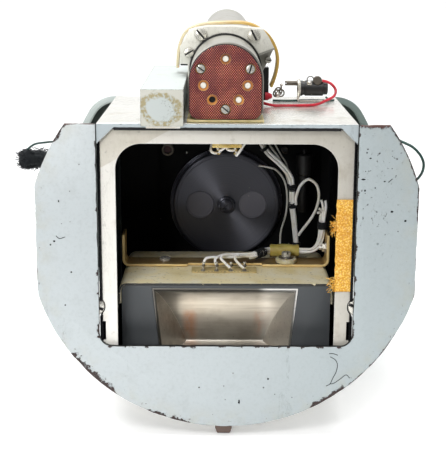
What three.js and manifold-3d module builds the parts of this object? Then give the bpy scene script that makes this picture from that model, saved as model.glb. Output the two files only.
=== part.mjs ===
// A cathode ray tube unit from a round-bodied instrument, in millimetres.
// The origin is on the axis of the front plate's round outline, at the rear cover's flat back face.
// +X is to the right, +Y runs back through the unit and +Z is up.
// Depths are counted from the front plate's front face, and the finished unit is moved as a whole.
import * as THREE from 'three';
import { ConvexGeometry } from 'three/addons/geometries/ConvexGeometry.js';
import { mergeVertices } from 'three/addons/utils/BufferGeometryUtils.js';
import Module from 'manifold-3d';

const wasm = await Module();
wasm.setup();

// ---------------------------------------------------------------- driving dimensions
const GAP = 0.3; // air left between neighbouring pieces
const SHEET = 1.6; // the usual sheet thickness

const PLATE_RADIUS = 107; // the front plate's round outline
const PLATE_HALF_WIDTH = 102.8; // the flats on its two sides
const PLATE_THICKNESS = 2.5;
const BODY_TOP = 63.6; // flat top of the plate, the chassis and the drum
const SLOT_HALF_WIDTH = 68.5; // the plate's slot, open at the top
const SLOT_BOTTOM = -59.5;
const SLOT_CORNER = 4;

const CHASSIS_HALF_WIDTH = 69.5;
const CHASSIS_BOTTOM = -80;
const CHASSIS_CHAMFER = 12; // the chassis' two lower corners
const CHASSIS_BACK = 126.5;

const DRUM_RADIUS = 102.5;
const DRUM_SHOULDER = 20; // fillet between the drum's round side and flat top
const DRUM_FRONT = 127;
const DRUM_BACK = 328;
const DRUM_WALL = 2.5;
const DRUM_RIM = 4.5;
const COVER_BACK = DRUM_BACK + 3;
const BULKHEAD_FRONT = 136;

const BARREL_X = -0.7; // the long upper tube's axis
const BARREL_Z = 86;
const BARREL_RADIUS = 19.5;
const BARREL_BACK = 430;
const BARREL_SKEW = 0.56; // degrees: it sits slightly askew in its clamp
const TERMINAL_X = -1.1; // the terminal plate's round top
const TERMINAL_Z = 85.5;
const CLAMP_FRONT = 66;
const CLAMP_BACK = 84;

const AXIS_X = 0.6; // the axis shared by the turned disc and the cathode ray tube
const AXIS_Z = -3.2;
const DISC_RADIUS = 33.7;
const DISC_FRONT = 108;
const DISC_THICKNESS = 5;
const WINDOW_RADIUS = 8;
const WINDOW_SPACING = 16.6; // from the disc's axis to each window's
const SHAFT_RADIUS = 4;
const PANEL_FRONT = 115.7;
const CHAMBER_BACK = 119;

const SCREEN_FRONT = 124;
const BULB_RADIUS = 34;
const NECK_RADIUS = 13.5;
const NECK_BACK = 296;

const BLOCK_FRONT = 20;
const BLOCK_BACK = 90;
const BLOCK_HALF_WIDTH = 60.4;
const BLOCK_TOP = -29.1;
const LID_SHEET = 1.1;
const BLOCK_BOTTOM = -77.6;
const TROUGH_TOP = -33.2;
const TROUGH_DEPTH = 34; // how far the reflector's back falls away behind its mouth
const TROUGH_DROP = 41;

const DUCT_LEFT = -45.8; // the long box duct on the chassis top
const DUCT_RIGHT = -23.2;
const DUCT_TOP = 81.3;
const DUCT_BACK = 135;

// ---------------------------------------------------------------- shape helpers
const degrees = THREE.MathUtils.degToRad;

// Points of a round stretch, with angles in degrees, anticlockwise from +X.
function arc(centreX, centreZ, radius, from, to, steps) {
  const points = [];
  for (let step = 0; step <= steps; step++) {
    const angle = degrees(from + ((to - from) * step) / steps);
    points.push(new THREE.Vector2(centreX + radius * Math.cos(angle), centreZ + radius * Math.sin(angle)));
  }
  return points;
}

const corner = (x, z) => new THREE.Vector2(x, z);

const circle = (x, z, radius, steps) => arc(x, z, radius, 0, 360 - 360 / steps, steps - 1);

function roundedRectangle(left, right, bottom, top, lowerRadius, upperRadius, steps = 5) {
  return [
    ...arc(left + lowerRadius, bottom + lowerRadius, lowerRadius, 180, 270, steps),
    ...arc(right - lowerRadius, bottom + lowerRadius, lowerRadius, 270, 360, steps),
    ...arc(right - upperRadius, top - upperRadius, upperRadius, 0, 90, steps),
    ...arc(left + upperRadius, top - upperRadius, upperRadius, 90, 180, steps),
  ];
}

// A plate drawn in x and z, holding holes, that fills the depths from front to back.
function plate(outline, front, back, holes = []) {
  const shape = new THREE.Shape(outline);
  shape.holes = holes.map((hole) => new THREE.Path(hole));
  const geometry = new THREE.ExtrudeGeometry(shape, { depth: back - front, bevelEnabled: false });
  geometry.rotateX(Math.PI / 2);
  geometry.translate(0, back, 0);
  return geometry;
}

// The same kind of plate, drawn in y and z, that fills the widths from left to right.
function crossPlate(outline, left, right, holes = []) {
  const shape = new THREE.Shape(outline);
  shape.holes = holes.map((hole) => new THREE.Path(hole));
  const geometry = new THREE.ExtrudeGeometry(shape, { depth: right - left, bevelEnabled: false });
  geometry.rotateX(Math.PI / 2);
  geometry.rotateZ(Math.PI / 2);
  geometry.translate(left, 0, 0);
  return geometry;
}

function box([left, right], [front, back], [bottom, top]) {
  const geometry = new THREE.BoxGeometry(right - left, back - front, top - bottom);
  geometry.translate((left + right) / 2, (front + back) / 2, (bottom + top) / 2);
  return geometry;
}

// A turned piece about an axis along +Y: profile points are [radius, depth].
function turned(profile, steps, x = 0, z = 0) {
  let points = profile.map(([radius, depth]) => new THREE.Vector2(radius, depth));
  if (THREE.ShapeUtils.area(points) < 0) points = points.reverse();
  const closes = points[0].x > 0;
  if (closes) points.push(points[0].clone());
  const geometry = new THREE.LatheGeometry(points, steps);
  geometry.translate(x, 0, z);
  return geometry;
}

// A round cable through a list of points.
function cable(points, radius, pieces, sides = 7) {
  const path = new THREE.CatmullRomCurve3(points.map((point) => new THREE.Vector3(...point)));
  const section = new THREE.Shape(circle(0, 0, radius, sides));
  return new THREE.ExtrudeGeometry(section, { extrudePath: path, steps: pieces, bevelEnabled: false });
}

// A closed geometry as a solid that can be cut and joined.
function solid(geometry) {
  const bare = geometry.index ? geometry.toNonIndexed() : geometry.clone();
  bare.deleteAttribute('normal');
  bare.deleteAttribute('uv');
  const merged = mergeVertices(bare, 1e-3);
  const triVerts = new Uint32Array(merged.index.array);
  const vertProperties = merged.attributes.position.array;
  return new wasm.Manifold(new wasm.Mesh({ numProp: 3, vertProperties, triVerts }));
}

function geometryOf(made) {
  const mesh = made.getMesh();
  const geometry = new THREE.BufferGeometry();
  geometry.setAttribute('position', new THREE.BufferAttribute(mesh.vertProperties, 3));
  geometry.setIndex(new THREE.BufferAttribute(mesh.triVerts, 1));
  const flat = geometry.toNonIndexed();
  flat.computeVertexNormals();
  return flat;
}

function join(...geometries) {
  return geometryOf(geometries.map(solid).reduce((whole, next) => whole.add(next)));
}

function cut(geometry, ...tools) {
  return geometryOf(tools.map(solid).reduce((whole, tool) => whole.subtract(tool), solid(geometry)));
}

const intersect = (first, second) => geometryOf(solid(first).intersect(solid(second)));

// ---------------------------------------------------------------- materials
const finish = (color, roughness, metalness) => ({ color, roughness, metalness });
const bluePaint = finish('#bcc6cb', 0.55, 0.1);
const drumPaint = finish('#83908c', 0.6, 0.1);
const rawAluminium = finish('#d3d0c8', 0.45, 0.8);
const blackPaint = finish('#141416', 0.6, 0.1);
const turnedBlack = finish('#2a2a30', 0.4, 0.5);
const steel = finish('#b9b6ae', 0.35, 0.9);
const goldPassivated = finish('#b39a62', 0.45, 0.7);
const beigePassivated = finish('#b9ad8c', 0.5, 0.5);
const mirrorMetal = finish('#c9c4bc', 0.15, 1);
const phenolic = finish('#6e2728', 0.5, 0);
const yellowBand = finish('#d3b263', 0.5, 0);
const orangeTape = finish('#d99a2b', 0.7, 0);
const whiteWire = finish('#d8d4cb', 0.5, 0);
const redWire = finish('#c3213c', 0.45, 0);
const greenWire = finish('#2c5a50', 0.5, 0);
const braid = finish('#17181b', 0.9, 0);
const glass = finish('#8fa39d', 0.1, 0);
const copper = finish('#a8673a', 0.4, 0.9);

const unit = new THREE.Group();

function add(name, geometry, material) {
  const mesh = new THREE.Mesh(geometry, new THREE.MeshStandardMaterial(material));
  mesh.name = name;
  unit.add(mesh);
  return mesh;
}

// A slotted cheese-head screw's head, seen from the front, with its underside at a depth.
function slottedHead(x, z, radius, height, underside) {
  const top = underside - height;
  const round = height * 0.3;
  const head = turned([[0, underside], [radius, underside], [radius, top + round], [radius - round, top], [0, top]],
    14, x, z);
  const slot = box([-radius * 1.1, radius * 1.1], [-1, height * 0.45], [-radius * 0.13, radius * 0.13]);
  slot.rotateY(degrees(38));
  slot.translate(x, top, z);
  return cut(head, slot);
}

// ---------------------------------------------------------------- front plate and chassis
function frontPlate() {
  const topAngle = THREE.MathUtils.radToDeg(Math.asin(BODY_TOP / PLATE_RADIUS));
  const flatAngle = THREE.MathUtils.radToDeg(Math.acos(PLATE_HALF_WIDTH / PLATE_RADIUS));
  const cornerX = SLOT_HALF_WIDTH - SLOT_CORNER;
  const cornerZ = SLOT_BOTTOM + SLOT_CORNER;
  return plate([
    corner(-SLOT_HALF_WIDTH, BODY_TOP),
    ...arc(0, 0, PLATE_RADIUS, 180 - topAngle, 180 - flatAngle, 4),
    ...arc(0, 0, PLATE_RADIUS, 180 + flatAngle, 360 - flatAngle, 36),
    ...arc(0, 0, PLATE_RADIUS, flatAngle, topAngle, 4),
    corner(SLOT_HALF_WIDTH, BODY_TOP),
    ...arc(cornerX, cornerZ, SLOT_CORNER, 0, -90, 4),
    ...arc(-cornerX, cornerZ, SLOT_CORNER, 270, 180, 4),
  ], 0, PLATE_THICKNESS);
}

// The chassis' outline, or the same outline drawn in by an inset.
function chassisOutline(inset) {
  const half = CHASSIS_HALF_WIDTH - inset;
  const bottom = CHASSIS_BOTTOM + inset;
  const chamfer = CHASSIS_CHAMFER - inset * (2 - Math.SQRT2);
  return [
    corner(-half, BODY_TOP - inset),
    corner(-half, bottom + chamfer),
    corner(-half + chamfer, bottom),
    corner(half - chamfer, bottom),
    corner(half, bottom + chamfer),
    corner(half, BODY_TOP - inset),
  ];
}

const FRAME_SCREW_X = 69;
const FRAME_SCREW_Z = -39;
const FRAME_SCREW_RADIUS = 3.9;
const chassisFront = PLATE_THICKNESS + GAP;

function screwPocket(side) {
  const radius = FRAME_SCREW_RADIUS + 0.6;
  return turned([[0, 1], [radius, 1], [radius, 7], [0, 7]], 18, side * FRAME_SCREW_X, FRAME_SCREW_Z);
}

function chassisBox() {
  const shell = plate(chassisOutline(0), chassisFront, CHASSIS_BACK, [chassisOutline(SHEET)]);
  return cut(shell, screwPocket(-1), screwPocket(1));
}

// The painted front edge of the chassis, with a gusset in each upper corner.
function frontLip() {
  const half = SLOT_HALF_WIDTH - GAP;
  const underside = 61.7;
  const gussetFoot = 53.6;
  const gussetEdge = 61.8;
  return plate([
    corner(-half, BODY_TOP),
    corner(-half, gussetFoot),
    corner(-gussetEdge, underside),
    corner(gussetEdge, underside),
    corner(half, gussetFoot),
    corner(half, BODY_TOP),
  ], 1.2, PLATE_THICKNESS);
}

function innerFrame() {
  const half = 67.3;
  const front = 4;
  const window = roundedRectangle(-60.5, 60.5, -70, 52.3, 3, 12.4);
  const bottom = -76;
  const outer = [
    corner(-half, 60.4),
    corner(-half, bottom + 9),
    corner(-half + 9, bottom),
    corner(half - 9, bottom),
    corner(half, bottom + 9),
    corner(half, 60.4),
  ];
  const ring = plate(outer, front, front + SHEET, [window]);
  const notch = (side) => box([side * half - 1.6, side * half + 1.6], [front - 1, front + 3], [-56, -46]);
  return cut(ring, notch(-1), notch(1), screwPocket(-1), screwPocket(1));
}

function tapeStrip() {
  return box([58.1, 67.2], [3.2, 3.7], [-28.8, 22.8]);
}

// A thin-walled box duct, open at the back, with a front flange that hangs over the lip.
function wiringDuct() {
  const bottom = BODY_TOP + GAP;
  const tube = box([DUCT_LEFT, DUCT_RIGHT], [0.5, DUCT_BACK], [bottom, DUCT_TOP]);
  const flange = box([DUCT_LEFT, DUCT_RIGHT], [0, 0.9], [61.5, DUCT_TOP]);
  const tongue = box([DUCT_LEFT + 2, DUCT_RIGHT - 1], [0, 0.9], [60.5, 62]);
  const hollow = box([DUCT_LEFT + SHEET, DUCT_RIGHT - SHEET], [2.5, DUCT_BACK + 1],
    [bottom + SHEET, DUCT_TOP - SHEET]);
  return cut(join(tube, flange, tongue), hollow);
}

add('front_plate', frontPlate(), bluePaint);
add('locating_lug', box([-5.9, 3.6], [PLATE_THICKNESS + GAP, 8], [-112.3, -96]), steel);
add('chassis_box', chassisBox(), rawAluminium);
add('front_lip', frontLip(), bluePaint);
add('inner_frame', innerFrame(), rawAluminium);
add('frame_screw_left', slottedHead(-FRAME_SCREW_X, FRAME_SCREW_Z, FRAME_SCREW_RADIUS, 2.4, 6), steel);
add('frame_screw_right', slottedHead(FRAME_SCREW_X, FRAME_SCREW_Z, FRAME_SCREW_RADIUS, 2.4, 6), steel);
add('tape_strip', tapeStrip(), orangeTape);
add('wiring_duct', wiringDuct(), bluePaint);

// ---------------------------------------------------------------- upper tube and its end
// An arch: a half round on a straight-sided foot with rounded lower corners.
function arch(centreX, centreZ, radius, bottom, footRadius) {
  return [
    ...arc(centreX + radius - footRadius, bottom + footRadius, footRadius, 270, 360, 4),
    ...arc(centreX, centreZ, radius, 0, 180, 20),
    ...arc(centreX - radius + footRadius, bottom + footRadius, footRadius, 180, 270, 4),
  ];
}

const PIN_CIRCLE = 11.9;
const TERMINAL_FRONT = 6;
const TERMINAL_THICKNESS = 2.6;
const CONTACT_ANGLES = { top: 90, left: 190, low_left: 233, low_right: 306, right: 350 };
const EMPTY_CONTACT = 'low_left';
const SCREW_ANGLES = { left: 153, right: 27, low: 270 };
const SCREW_CIRCLE = 14.7;

const onCircle = (radius, angle) => [
  TERMINAL_X + radius * Math.cos(degrees(angle)),
  TERMINAL_Z + radius * Math.sin(degrees(angle)),
];

function terminalPlate() {
  const holes = Object.values(CONTACT_ANGLES).map((angle) => circle(...onCircle(PIN_CIRCLE, angle), 1.75, 12));
  const outline = arch(TERMINAL_X, TERMINAL_Z, 19.1, 65.6, 5);
  return plate(outline, TERMINAL_FRONT, TERMINAL_FRONT + TERMINAL_THICKNESS, holes);
}

function contactPin(angle) {
  const front = TERMINAL_FRONT - 0.2;
  const profile = [[0, front], [0.9, front], [1.1, front + 0.3], [1.1, 14], [0, 14]];
  return turned(profile, 10, ...onCircle(PIN_CIRCLE, angle));
}

function connectorHousing() {
  const outer = arch(BARREL_X, BARREL_Z, 19.9, 65.6, 5);
  const inner = arch(BARREL_X, BARREL_Z, 18.2, 67.2, 4);
  return plate(outer, TERMINAL_FRONT + TERMINAL_THICKNESS + GAP, CLAMP_FRONT - GAP, [inner]);
}

const CLAMP_CENTRE_RADIUS = BARREL_RADIUS + 0.4;

// The clamp block stands on the chassis, and is relieved on its left for the wiring duct.
// Its lower right side is set back behind a sloping edge.
function clampBlock() {
  const outline = [
    corner(-27.1, 88.6),
    corner(-22.6, 88.6),
    corner(-22.6, BODY_TOP + GAP),
    corner(25.5, BODY_TOP + GAP),
    corner(25.1, 83.8),
    corner(27.7, 97.9),
    corner(24.4, 104.4),
    corner(20.9, 109.2),
    corner(4, 110.8),
    corner(-11, 110.7),
    corner(-18.4, 109.4),
    corner(-22.2, 108.1),
    corner(-24.2, 103.6),
    corner(-27.1, 99),
  ];
  const body = plate(outline, CLAMP_FRONT, CLAMP_BACK, [circle(BARREL_X, BARREL_Z, CLAMP_CENTRE_RADIUS, 40)]);
  const relief = box([0, 40], [-40, 5], [-60, 0]);
  relief.rotateZ(degrees(15));
  relief.rotateY(degrees(-21.5));
  relief.translate(13, CLAMP_FRONT, 92.1);
  return cut(body, relief);
}

const CLAMP_SCREWS = [[-15, 106.2, 3.5], [15.5, 106, 3.5], [-21.8, 95.9, 2.8]];

// The yellowed band bent over the top of the clamp, as a ribbon of even thickness.
function clampBand() {
  const path = new THREE.SplineCurve([
    corner(-29.2, 85.2),
    corner(-28.7, 94.1),
    corner(-27.4, 100.1),
    corner(-24.8, 105.5),
    corner(-20, 108.9),
    corner(-11.4, 111.2),
    corner(6, 111.9),
    corner(13.5, 111),
    corner(19.2, 108.6),
    corner(24.9, 104.3),
    corner(28.4, 98.8),
    corner(30.3, 93),
    corner(30.4, 87.3),
    corner(29, 80),
    corner(26.7, 74),
  ]);
  const steps = 40;
  const half = 0.85;
  const side = (sign) => path.getPoints(steps).map((point, index) => {
    const along = path.getTangent(index / steps);
    return corner(point.x - sign * half * along.y, point.y + sign * half * along.x);
  });
  return plate([...side(1), ...side(-1).reverse()], CLAMP_BACK + GAP, CLAMP_BACK + 12);
}

function tubeBarrel() {
  const length = BARREL_BACK - CLAMP_FRONT;
  const wall = 1.5;
  const barrel = turned([
    [0, length - 2],
    [BARREL_RADIUS - wall, length - 2],
    [BARREL_RADIUS - wall, 0.4],
    [BARREL_RADIUS, 0.4],
    [BARREL_RADIUS, length - 3],
    [BARREL_RADIUS - 2, length],
    [0, length],
  ], 40);
  barrel.rotateZ(degrees(-BARREL_SKEW));
  barrel.translate(BARREL_X, CLAMP_FRONT, BARREL_Z);
  return barrel;
}

function barrelSaddle() {
  const front = 290;
  const centreX = BARREL_X + (front + 7 - CLAMP_FRONT) * Math.tan(degrees(BARREL_SKEW));
  return plate([
    corner(centreX - 17, BODY_TOP + GAP + 0.1),
    corner(centreX + 17, BODY_TOP + GAP + 0.1),
    ...arc(centreX, BARREL_Z, BARREL_RADIUS + 0.5, -36, -144, 12),
  ], front, front + 14);
}

add('terminal_plate', terminalPlate(), phenolic);
for (const [place, angle] of Object.entries(CONTACT_ANGLES)) {
  if (place !== EMPTY_CONTACT) add(`contact_pin_${place}`, contactPin(angle), steel);
}
for (const [place, angle] of Object.entries(SCREW_ANGLES)) {
  const head = slottedHead(...onCircle(SCREW_CIRCLE, angle), 2.4, 1, TERMINAL_FRONT - 0.2);
  add(`plate_screw_${place}`, head, steel);
}
add('connector_housing', connectorHousing(), rawAluminium);
add('connector_base', box([-21.5, 19.6], [5.4, CLAMP_FRONT - GAP], [BODY_TOP + GAP, 65.2]), yellowBand);
add('clamp_block', clampBlock(), rawAluminium);
CLAMP_SCREWS.forEach(([x, z, radius], index) => {
  add(`clamp_screw_${index + 1}`, slottedHead(x, z, radius, 2.2, CLAMP_FRONT - GAP), steel);
});
add('clamp_band', clampBand(), yellowBand);
add('tube_barrel', tubeBarrel(), rawAluminium);
add('barrel_saddle', barrelSaddle(), rawAluminium);

// ---------------------------------------------------------------- rear drum
// The drum's outline, or the same outline drawn in by an inset.
function drumOutline(inset) {
  const centreZ = BODY_TOP - DRUM_SHOULDER;
  const reach = DRUM_RADIUS - DRUM_SHOULDER;
  const centreX = Math.sqrt(reach * reach - centreZ * centreZ);
  const tangent = THREE.MathUtils.radToDeg(Math.atan2(centreZ, centreX));
  const radius = DRUM_SHOULDER - inset;
  return [
    ...arc(centreX, centreZ, radius, tangent, 90, 6),
    ...arc(-centreX, centreZ, radius, 90, 180 - tangent, 6),
    ...arc(0, 0, DRUM_RADIUS - inset, 180 - tangent, 360 + tangent, 38).slice(1, -1),
  ];
}

function drumHousing() {
  const rimBack = DRUM_FRONT + 4;
  const shell = plate(drumOutline(0), rimBack - 0.2, DRUM_BACK, [drumOutline(DRUM_WALL)]);
  return join(shell, plate(drumOutline(0), DRUM_FRONT, rimBack, [drumOutline(DRUM_RIM)]));
}

// The rectangular neck that joins the chassis to the drum's bulkhead.
function joiningFrame() {
  const half = CHASSIS_HALF_WIDTH - SHEET - 0.6;
  const outer = [corner(-half, -58), corner(half, -58), corner(half, 58), corner(-half, 58)];
  const inner = outer.map((point) => corner(point.x - Math.sign(point.x) * 2, point.y - Math.sign(point.y) * 2));
  return plate(outer, CHAMBER_BACK + 1.8, BULKHEAD_FRONT - GAP, [inner]);
}

function drumBulkhead() {
  const slot = (x, z) => roundedRectangle(x - 1.6, x + 1.6, z - 6, z + 6, 1.5, 1.5, 2);
  const slots = [-1, 1].flatMap((side) => [[82, 34], [89, 14], [89, -14]].map(([x, z]) => slot(side * x, z)));
  const tubeHole = circle(AXIS_X, AXIS_Z, BULB_RADIUS + 3, 32);
  return plate(drumOutline(DRUM_WALL + GAP), BULKHEAD_FRONT, BULKHEAD_FRONT + 2, [tubeHole, ...slots]);
}

add('drum_housing', drumHousing(), drumPaint);
add('joining_frame', joiningFrame(), blackPaint);
add('drum_bulkhead', drumBulkhead(), drumPaint);
add('rear_cover', plate(drumOutline(0), DRUM_BACK + GAP, COVER_BACK), drumPaint);

// ---------------------------------------------------------------- chamber, disc and its spindle
const windowCentres = [-1, 1].map((side) => [AXIS_X + side * WINDOW_SPACING, AXIS_Z]);

function chamberRearWall() {
  const outline = chassisOutline(SHEET + 0.6);
  const sight = windowCentres.map(([x, z]) => circle(x, z, 7, 20));
  return plate(outline, CHAMBER_BACK, CHAMBER_BACK + 1.5, [...sight, circle(AXIS_X, AXIS_Z, SHAFT_RADIUS + 1.4, 20)]);
}

function discPanel() {
  const outline = roundedRectangle(-41.6, 60, -62, 60, 2, 2, 2);
  const sight = windowCentres.map(([x, z]) => circle(x, z, 7, 20));
  return plate(outline, PANEL_FRONT, PANEL_FRONT + 1.5, [...sight, circle(AXIS_X, AXIS_Z, 7.8, 24)]);
}

function discBezel() {
  const front = DISC_FRONT + DISC_THICKNESS + 0.4;
  return turned([[31, front], [35.8, front], [35.8, PANEL_FRONT - GAP], [31, PANEL_FRONT - GAP]], 40, AXIS_X, AXIS_Z);
}

function turnedDisc() {
  const back = DISC_FRONT + DISC_THICKNESS;
  const edge = [[DISC_RADIUS, back], [DISC_RADIUS, DISC_FRONT + 1], [DISC_RADIUS - 0.8, DISC_FRONT]];
  const bore = SHAFT_RADIUS + 0.4;
  const disc = turned([[bore, back], ...edge, [bore, DISC_FRONT]], 48, AXIS_X, AXIS_Z);
  const hole = ([x, z]) => turned([[0, DISC_FRONT - 1], [WINDOW_RADIUS + 0.3, DISC_FRONT - 1],
    [WINDOW_RADIUS + 0.3, back + 1], [0, back + 1]], 24, x, z);
  return cut(disc, ...windowCentres.map(hole));
}

function discWindow([x, z]) {
  const front = DISC_FRONT + 0.2;
  return turned([[0, front], [WINDOW_RADIUS, front], [WINDOW_RADIUS, front + 4], [0, front + 4]], 24, x, z);
}

// The spindle's hub clamps the disc from the front, and its shaft turns in the bush.
function discSpindle() {
  const hubBack = DISC_FRONT - GAP;
  return turned([
    [0, hubBack - 2.2],
    [1, hubBack - 2.8],
    [4.3, hubBack - 2.8],
    [4.5, hubBack - 1.6],
    [5.6, hubBack - 1.6],
    [5.6, hubBack],
    [SHAFT_RADIUS, hubBack],
    [SHAFT_RADIUS, CHAMBER_BACK + 2.6],
    [0, CHAMBER_BACK + 2.6],
  ], 24, AXIS_X, AXIS_Z);
}

function bearingBush() {
  const front = DISC_FRONT + DISC_THICKNESS + 0.5;
  const bore = SHAFT_RADIUS + 0.14;
  return turned([[bore, front], [10, front], [10, PANEL_FRONT - GAP], [7.5, PANEL_FRONT - GAP],
    [7.5, CHAMBER_BACK - GAP], [bore, CHAMBER_BACK - GAP]], 24, AXIS_X, AXIS_Z);
}

add('chamber_rear_wall', chamberRearWall(), blackPaint);
add('disc_panel', discPanel(), blackPaint);
add('disc_bezel', discBezel(), turnedBlack);
add('turned_disc', turnedDisc(), turnedBlack);
add('disc_window_left', discWindow(windowCentres[0]), glass);
add('disc_window_right', discWindow(windowCentres[1]), glass);
add('disc_spindle', discSpindle(), turnedBlack);
add('bearing_bush', bearingBush(), goldPassivated);

// ---------------------------------------------------------------- the tube inside the drum
// The glass envelope: a domed face, a bulb, a cone and a neck that is open under its base.
function glassEnvelope() {
  return turned([
    [0, SCREEN_FRONT],
    [20, SCREEN_FRONT + 0.8],
    [30, SCREEN_FRONT + 2.3],
    [BULB_RADIUS, SCREEN_FRONT + 6],
    [BULB_RADIUS - 1, 152],
    [22, 190],
    [NECK_RADIUS, 207],
    [NECK_RADIUS, NECK_BACK],
    [NECK_RADIUS - 1.5, NECK_BACK],
    [NECK_RADIUS - 1.5, 207.5],
    [20.5, 190.5],
    [BULB_RADIUS - 3, 152],
    [BULB_RADIUS - 2.5, SCREEN_FRONT + 7],
    [28, SCREEN_FRONT + 5],
    [0, SCREEN_FRONT + 3.2],
  ], 24, AXIS_X, AXIS_Z);
}

function electronGun() {
  const rod = 3;
  const electrode = (radius, front, back) => [[rod, front], [radius, front], [radius, back], [rod, back]];
  return turned([
    [0, 229],
    ...electrode(9, 229, 246),
    ...electrode(7, 250, 262),
    ...electrode(7, 266, 280),
    [rod, NECK_BACK],
    [0, NECK_BACK],
  ], 12, AXIS_X, AXIS_Z);
}

function deflectionYoke() {
  const bore = NECK_RADIUS + 0.8;
  return turned([[bore, 211], [28, 211], [28, 215], [24, 215], [24, 242], [28, 242], [28, 246], [bore, 246]],
    20, AXIS_X, AXIS_Z);
}

function magneticShield() {
  const front = BULKHEAD_FRONT + 2 + GAP;
  return turned([[38.3, front], [39.5, front], [39.5, 158], [31, 202], [31, 294], [29.8, 294],
    [29.8, 201.6], [38.3, 157.5]], 24, AXIS_X, AXIS_Z);
}

function tubeSocket() {
  return turned([[0, NECK_BACK + GAP], [16, NECK_BACK + GAP], [16, 312], [19, 312], [19, 322], [0, 322]],
    20, AXIS_X, AXIS_Z);
}

add('crt_envelope', glassEnvelope(), glass);
add('electron_gun', electronGun(), steel);
add('deflection_yoke', deflectionYoke(), copper);
add('magnetic_shield', magneticShield(), steel);
add('tube_socket', tubeSocket(), phenolic);

// ---------------------------------------------------------------- reflector block
// The space the reflector surrounds, grown outwards by a wall: a mouth that narrows downwards and
// backwards, under a curved back that falls away from the mouth's top edge.
function troughSpace(grow) {
  const halfMouth = 40 + grow;
  const narrowingDown = 0.11;
  const narrowingBack = 0.36;
  const front = BLOCK_FRONT - 4;
  const mouthTop = TROUGH_TOP + grow;
  const bottom = TROUGH_TOP - TROUGH_DROP - 1.2 - grow;
  const back = BLOCK_FRONT + TROUGH_DEPTH + grow;
  const centreX = -0.5;
  const wedge = [];
  for (const depth of [front, back + 1]) {
    for (const height of [mouthTop + 1, bottom - 1]) {
      const half = halfMouth - narrowingDown * (TROUGH_TOP - height) - narrowingBack * (depth - BLOCK_FRONT);
      wedge.push(new THREE.Vector3(centreX - half, depth, height), new THREE.Vector3(centreX + half, depth, height));
    }
  }
  const curve = new THREE.QuadraticBezierCurve(
    corner(BLOCK_FRONT, mouthTop),
    corner(BLOCK_FRONT + TROUGH_DEPTH * 0.62 + grow, TROUGH_TOP - TROUGH_DROP * 0.38 + grow * 0.6),
    corner(back, TROUGH_TOP - TROUGH_DROP),
  );
  const section = crossPlate([corner(front, bottom), corner(back, bottom), ...curve.getPoints(8).reverse(),
    corner(front, mouthTop)], -60, 60);
  return intersect(section, new ConvexGeometry(wedge));
}

function reflectorBlock() {
  const half = BLOCK_HALF_WIDTH - LID_SHEET - GAP;
  const outline = roundedRectangle(-half, half, BLOCK_BOTTOM, BLOCK_TOP - LID_SHEET - GAP, 7, 3);
  return cut(plate(outline, BLOCK_FRONT, BLOCK_BACK - 1), troughSpace(1.4));
}

function reflectorShell() {
  const shell = cut(troughSpace(1.1), troughSpace(0));
  const mouth = box([-60, 60], [BLOCK_FRONT - 10, BLOCK_FRONT + 0.2], [-90, -20]);
  return cut(shell, mouth);
}

// The sheet lid over the block's top, bent down a little at both sides.
function blockLid() {
  const half = BLOCK_HALF_WIDTH;
  const inner = half - LID_SHEET;
  const skirt = BLOCK_TOP - 12;
  const radius = 4.5;
  return plate([
    corner(inner, skirt),
    corner(half, skirt),
    ...arc(half - radius, BLOCK_TOP - radius, radius, 0, 90, 5),
    ...arc(-half + radius, BLOCK_TOP - radius, radius, 90, 180, 5),
    corner(-half, skirt),
    corner(-inner, skirt),
    ...arc(-half + radius, BLOCK_TOP - radius, radius - LID_SHEET, 180, 90, 5),
    ...arc(half - radius, BLOCK_TOP - radius, radius - LID_SHEET, 90, 0, 5),
  ], BLOCK_FRONT - 0.6, BLOCK_BACK);
}

const BRACKET_BASE = BLOCK_TOP + GAP;
const BRACKET_FRONT = 53.5;

// The gold bracket: a base on the lid with an ear bent up at each end and a shallow notch in front.
function supportBracket() {
  const half = 61.2;
  const thickness = 1.5;
  const radius = 4;
  const earTop = -9.6;
  const outline = [
    corner(half, earTop),
    corner(half - thickness, earTop),
    ...arc(half - radius, BRACKET_BASE + radius, radius - thickness, 0, -90, 4),
    ...arc(-half + radius, BRACKET_BASE + radius, radius - thickness, 270, 180, 4),
    corner(-half + thickness, earTop),
    corner(-half, earTop),
    ...arc(-half + radius, BRACKET_BASE + radius, radius, 180, 270, 4),
    ...arc(half - radius, BRACKET_BASE + radius, radius, 270, 360, 4),
  ];
  const notch = box([-22.4, 21.5], [BRACKET_FRONT - 1, BRACKET_FRONT + 3], [-35, -20]);
  const whole = plate(outline, BRACKET_FRONT, BRACKET_FRONT + 15.5);
  return cut(whole, notch);
}

// An insulating strip with its four turned posts moulded in.
function postStrip() {
  const bottom = BLOCK_TOP + GAP;
  const top = bottom + 1;
  const strip = box([-20, 18], [39.6, 51], [bottom, top]);
  const posts = [-12.5, -4.8, 3.3, 11.3].map((x) => {
    const post = turned([[0, 0], [1.9, 0], [1.9, 1.8], [0.8, 2], [0.8, 4.6], [1.3, 4.8], [1.3, 5.6], [0, 5.6]], 8);
    post.rotateX(Math.PI / 2);
    post.translate(x, 41, top - 0.2);
    return post;
  });
  return join(strip, ...posts);
}

const CLIP_X = 33.8;
const CLIP_Y = 61; // its screw, with the loop behind
const CLIP_LOOP_Y = CLIP_Y + 8.4;
const clipFoot = BRACKET_BASE + 1.5 + GAP;
const clipLoopZ = clipFoot + 4.2;

// A P-shaped cable clip: a loop round the harness, behind a flat foot held by one screw.
function cableClip() {
  const width = [CLIP_X - 4.5, CLIP_X + 4.5];
  const foot = box(width, [CLIP_Y - 4.5, CLIP_LOOP_Y], [clipFoot, clipFoot + 1.2]);
  const hole = circle(CLIP_LOOP_Y, clipLoopZ, 3, 16);
  return join(foot, crossPlate(circle(CLIP_LOOP_Y, clipLoopZ, 4.2, 20), ...width, [hole]));
}

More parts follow.
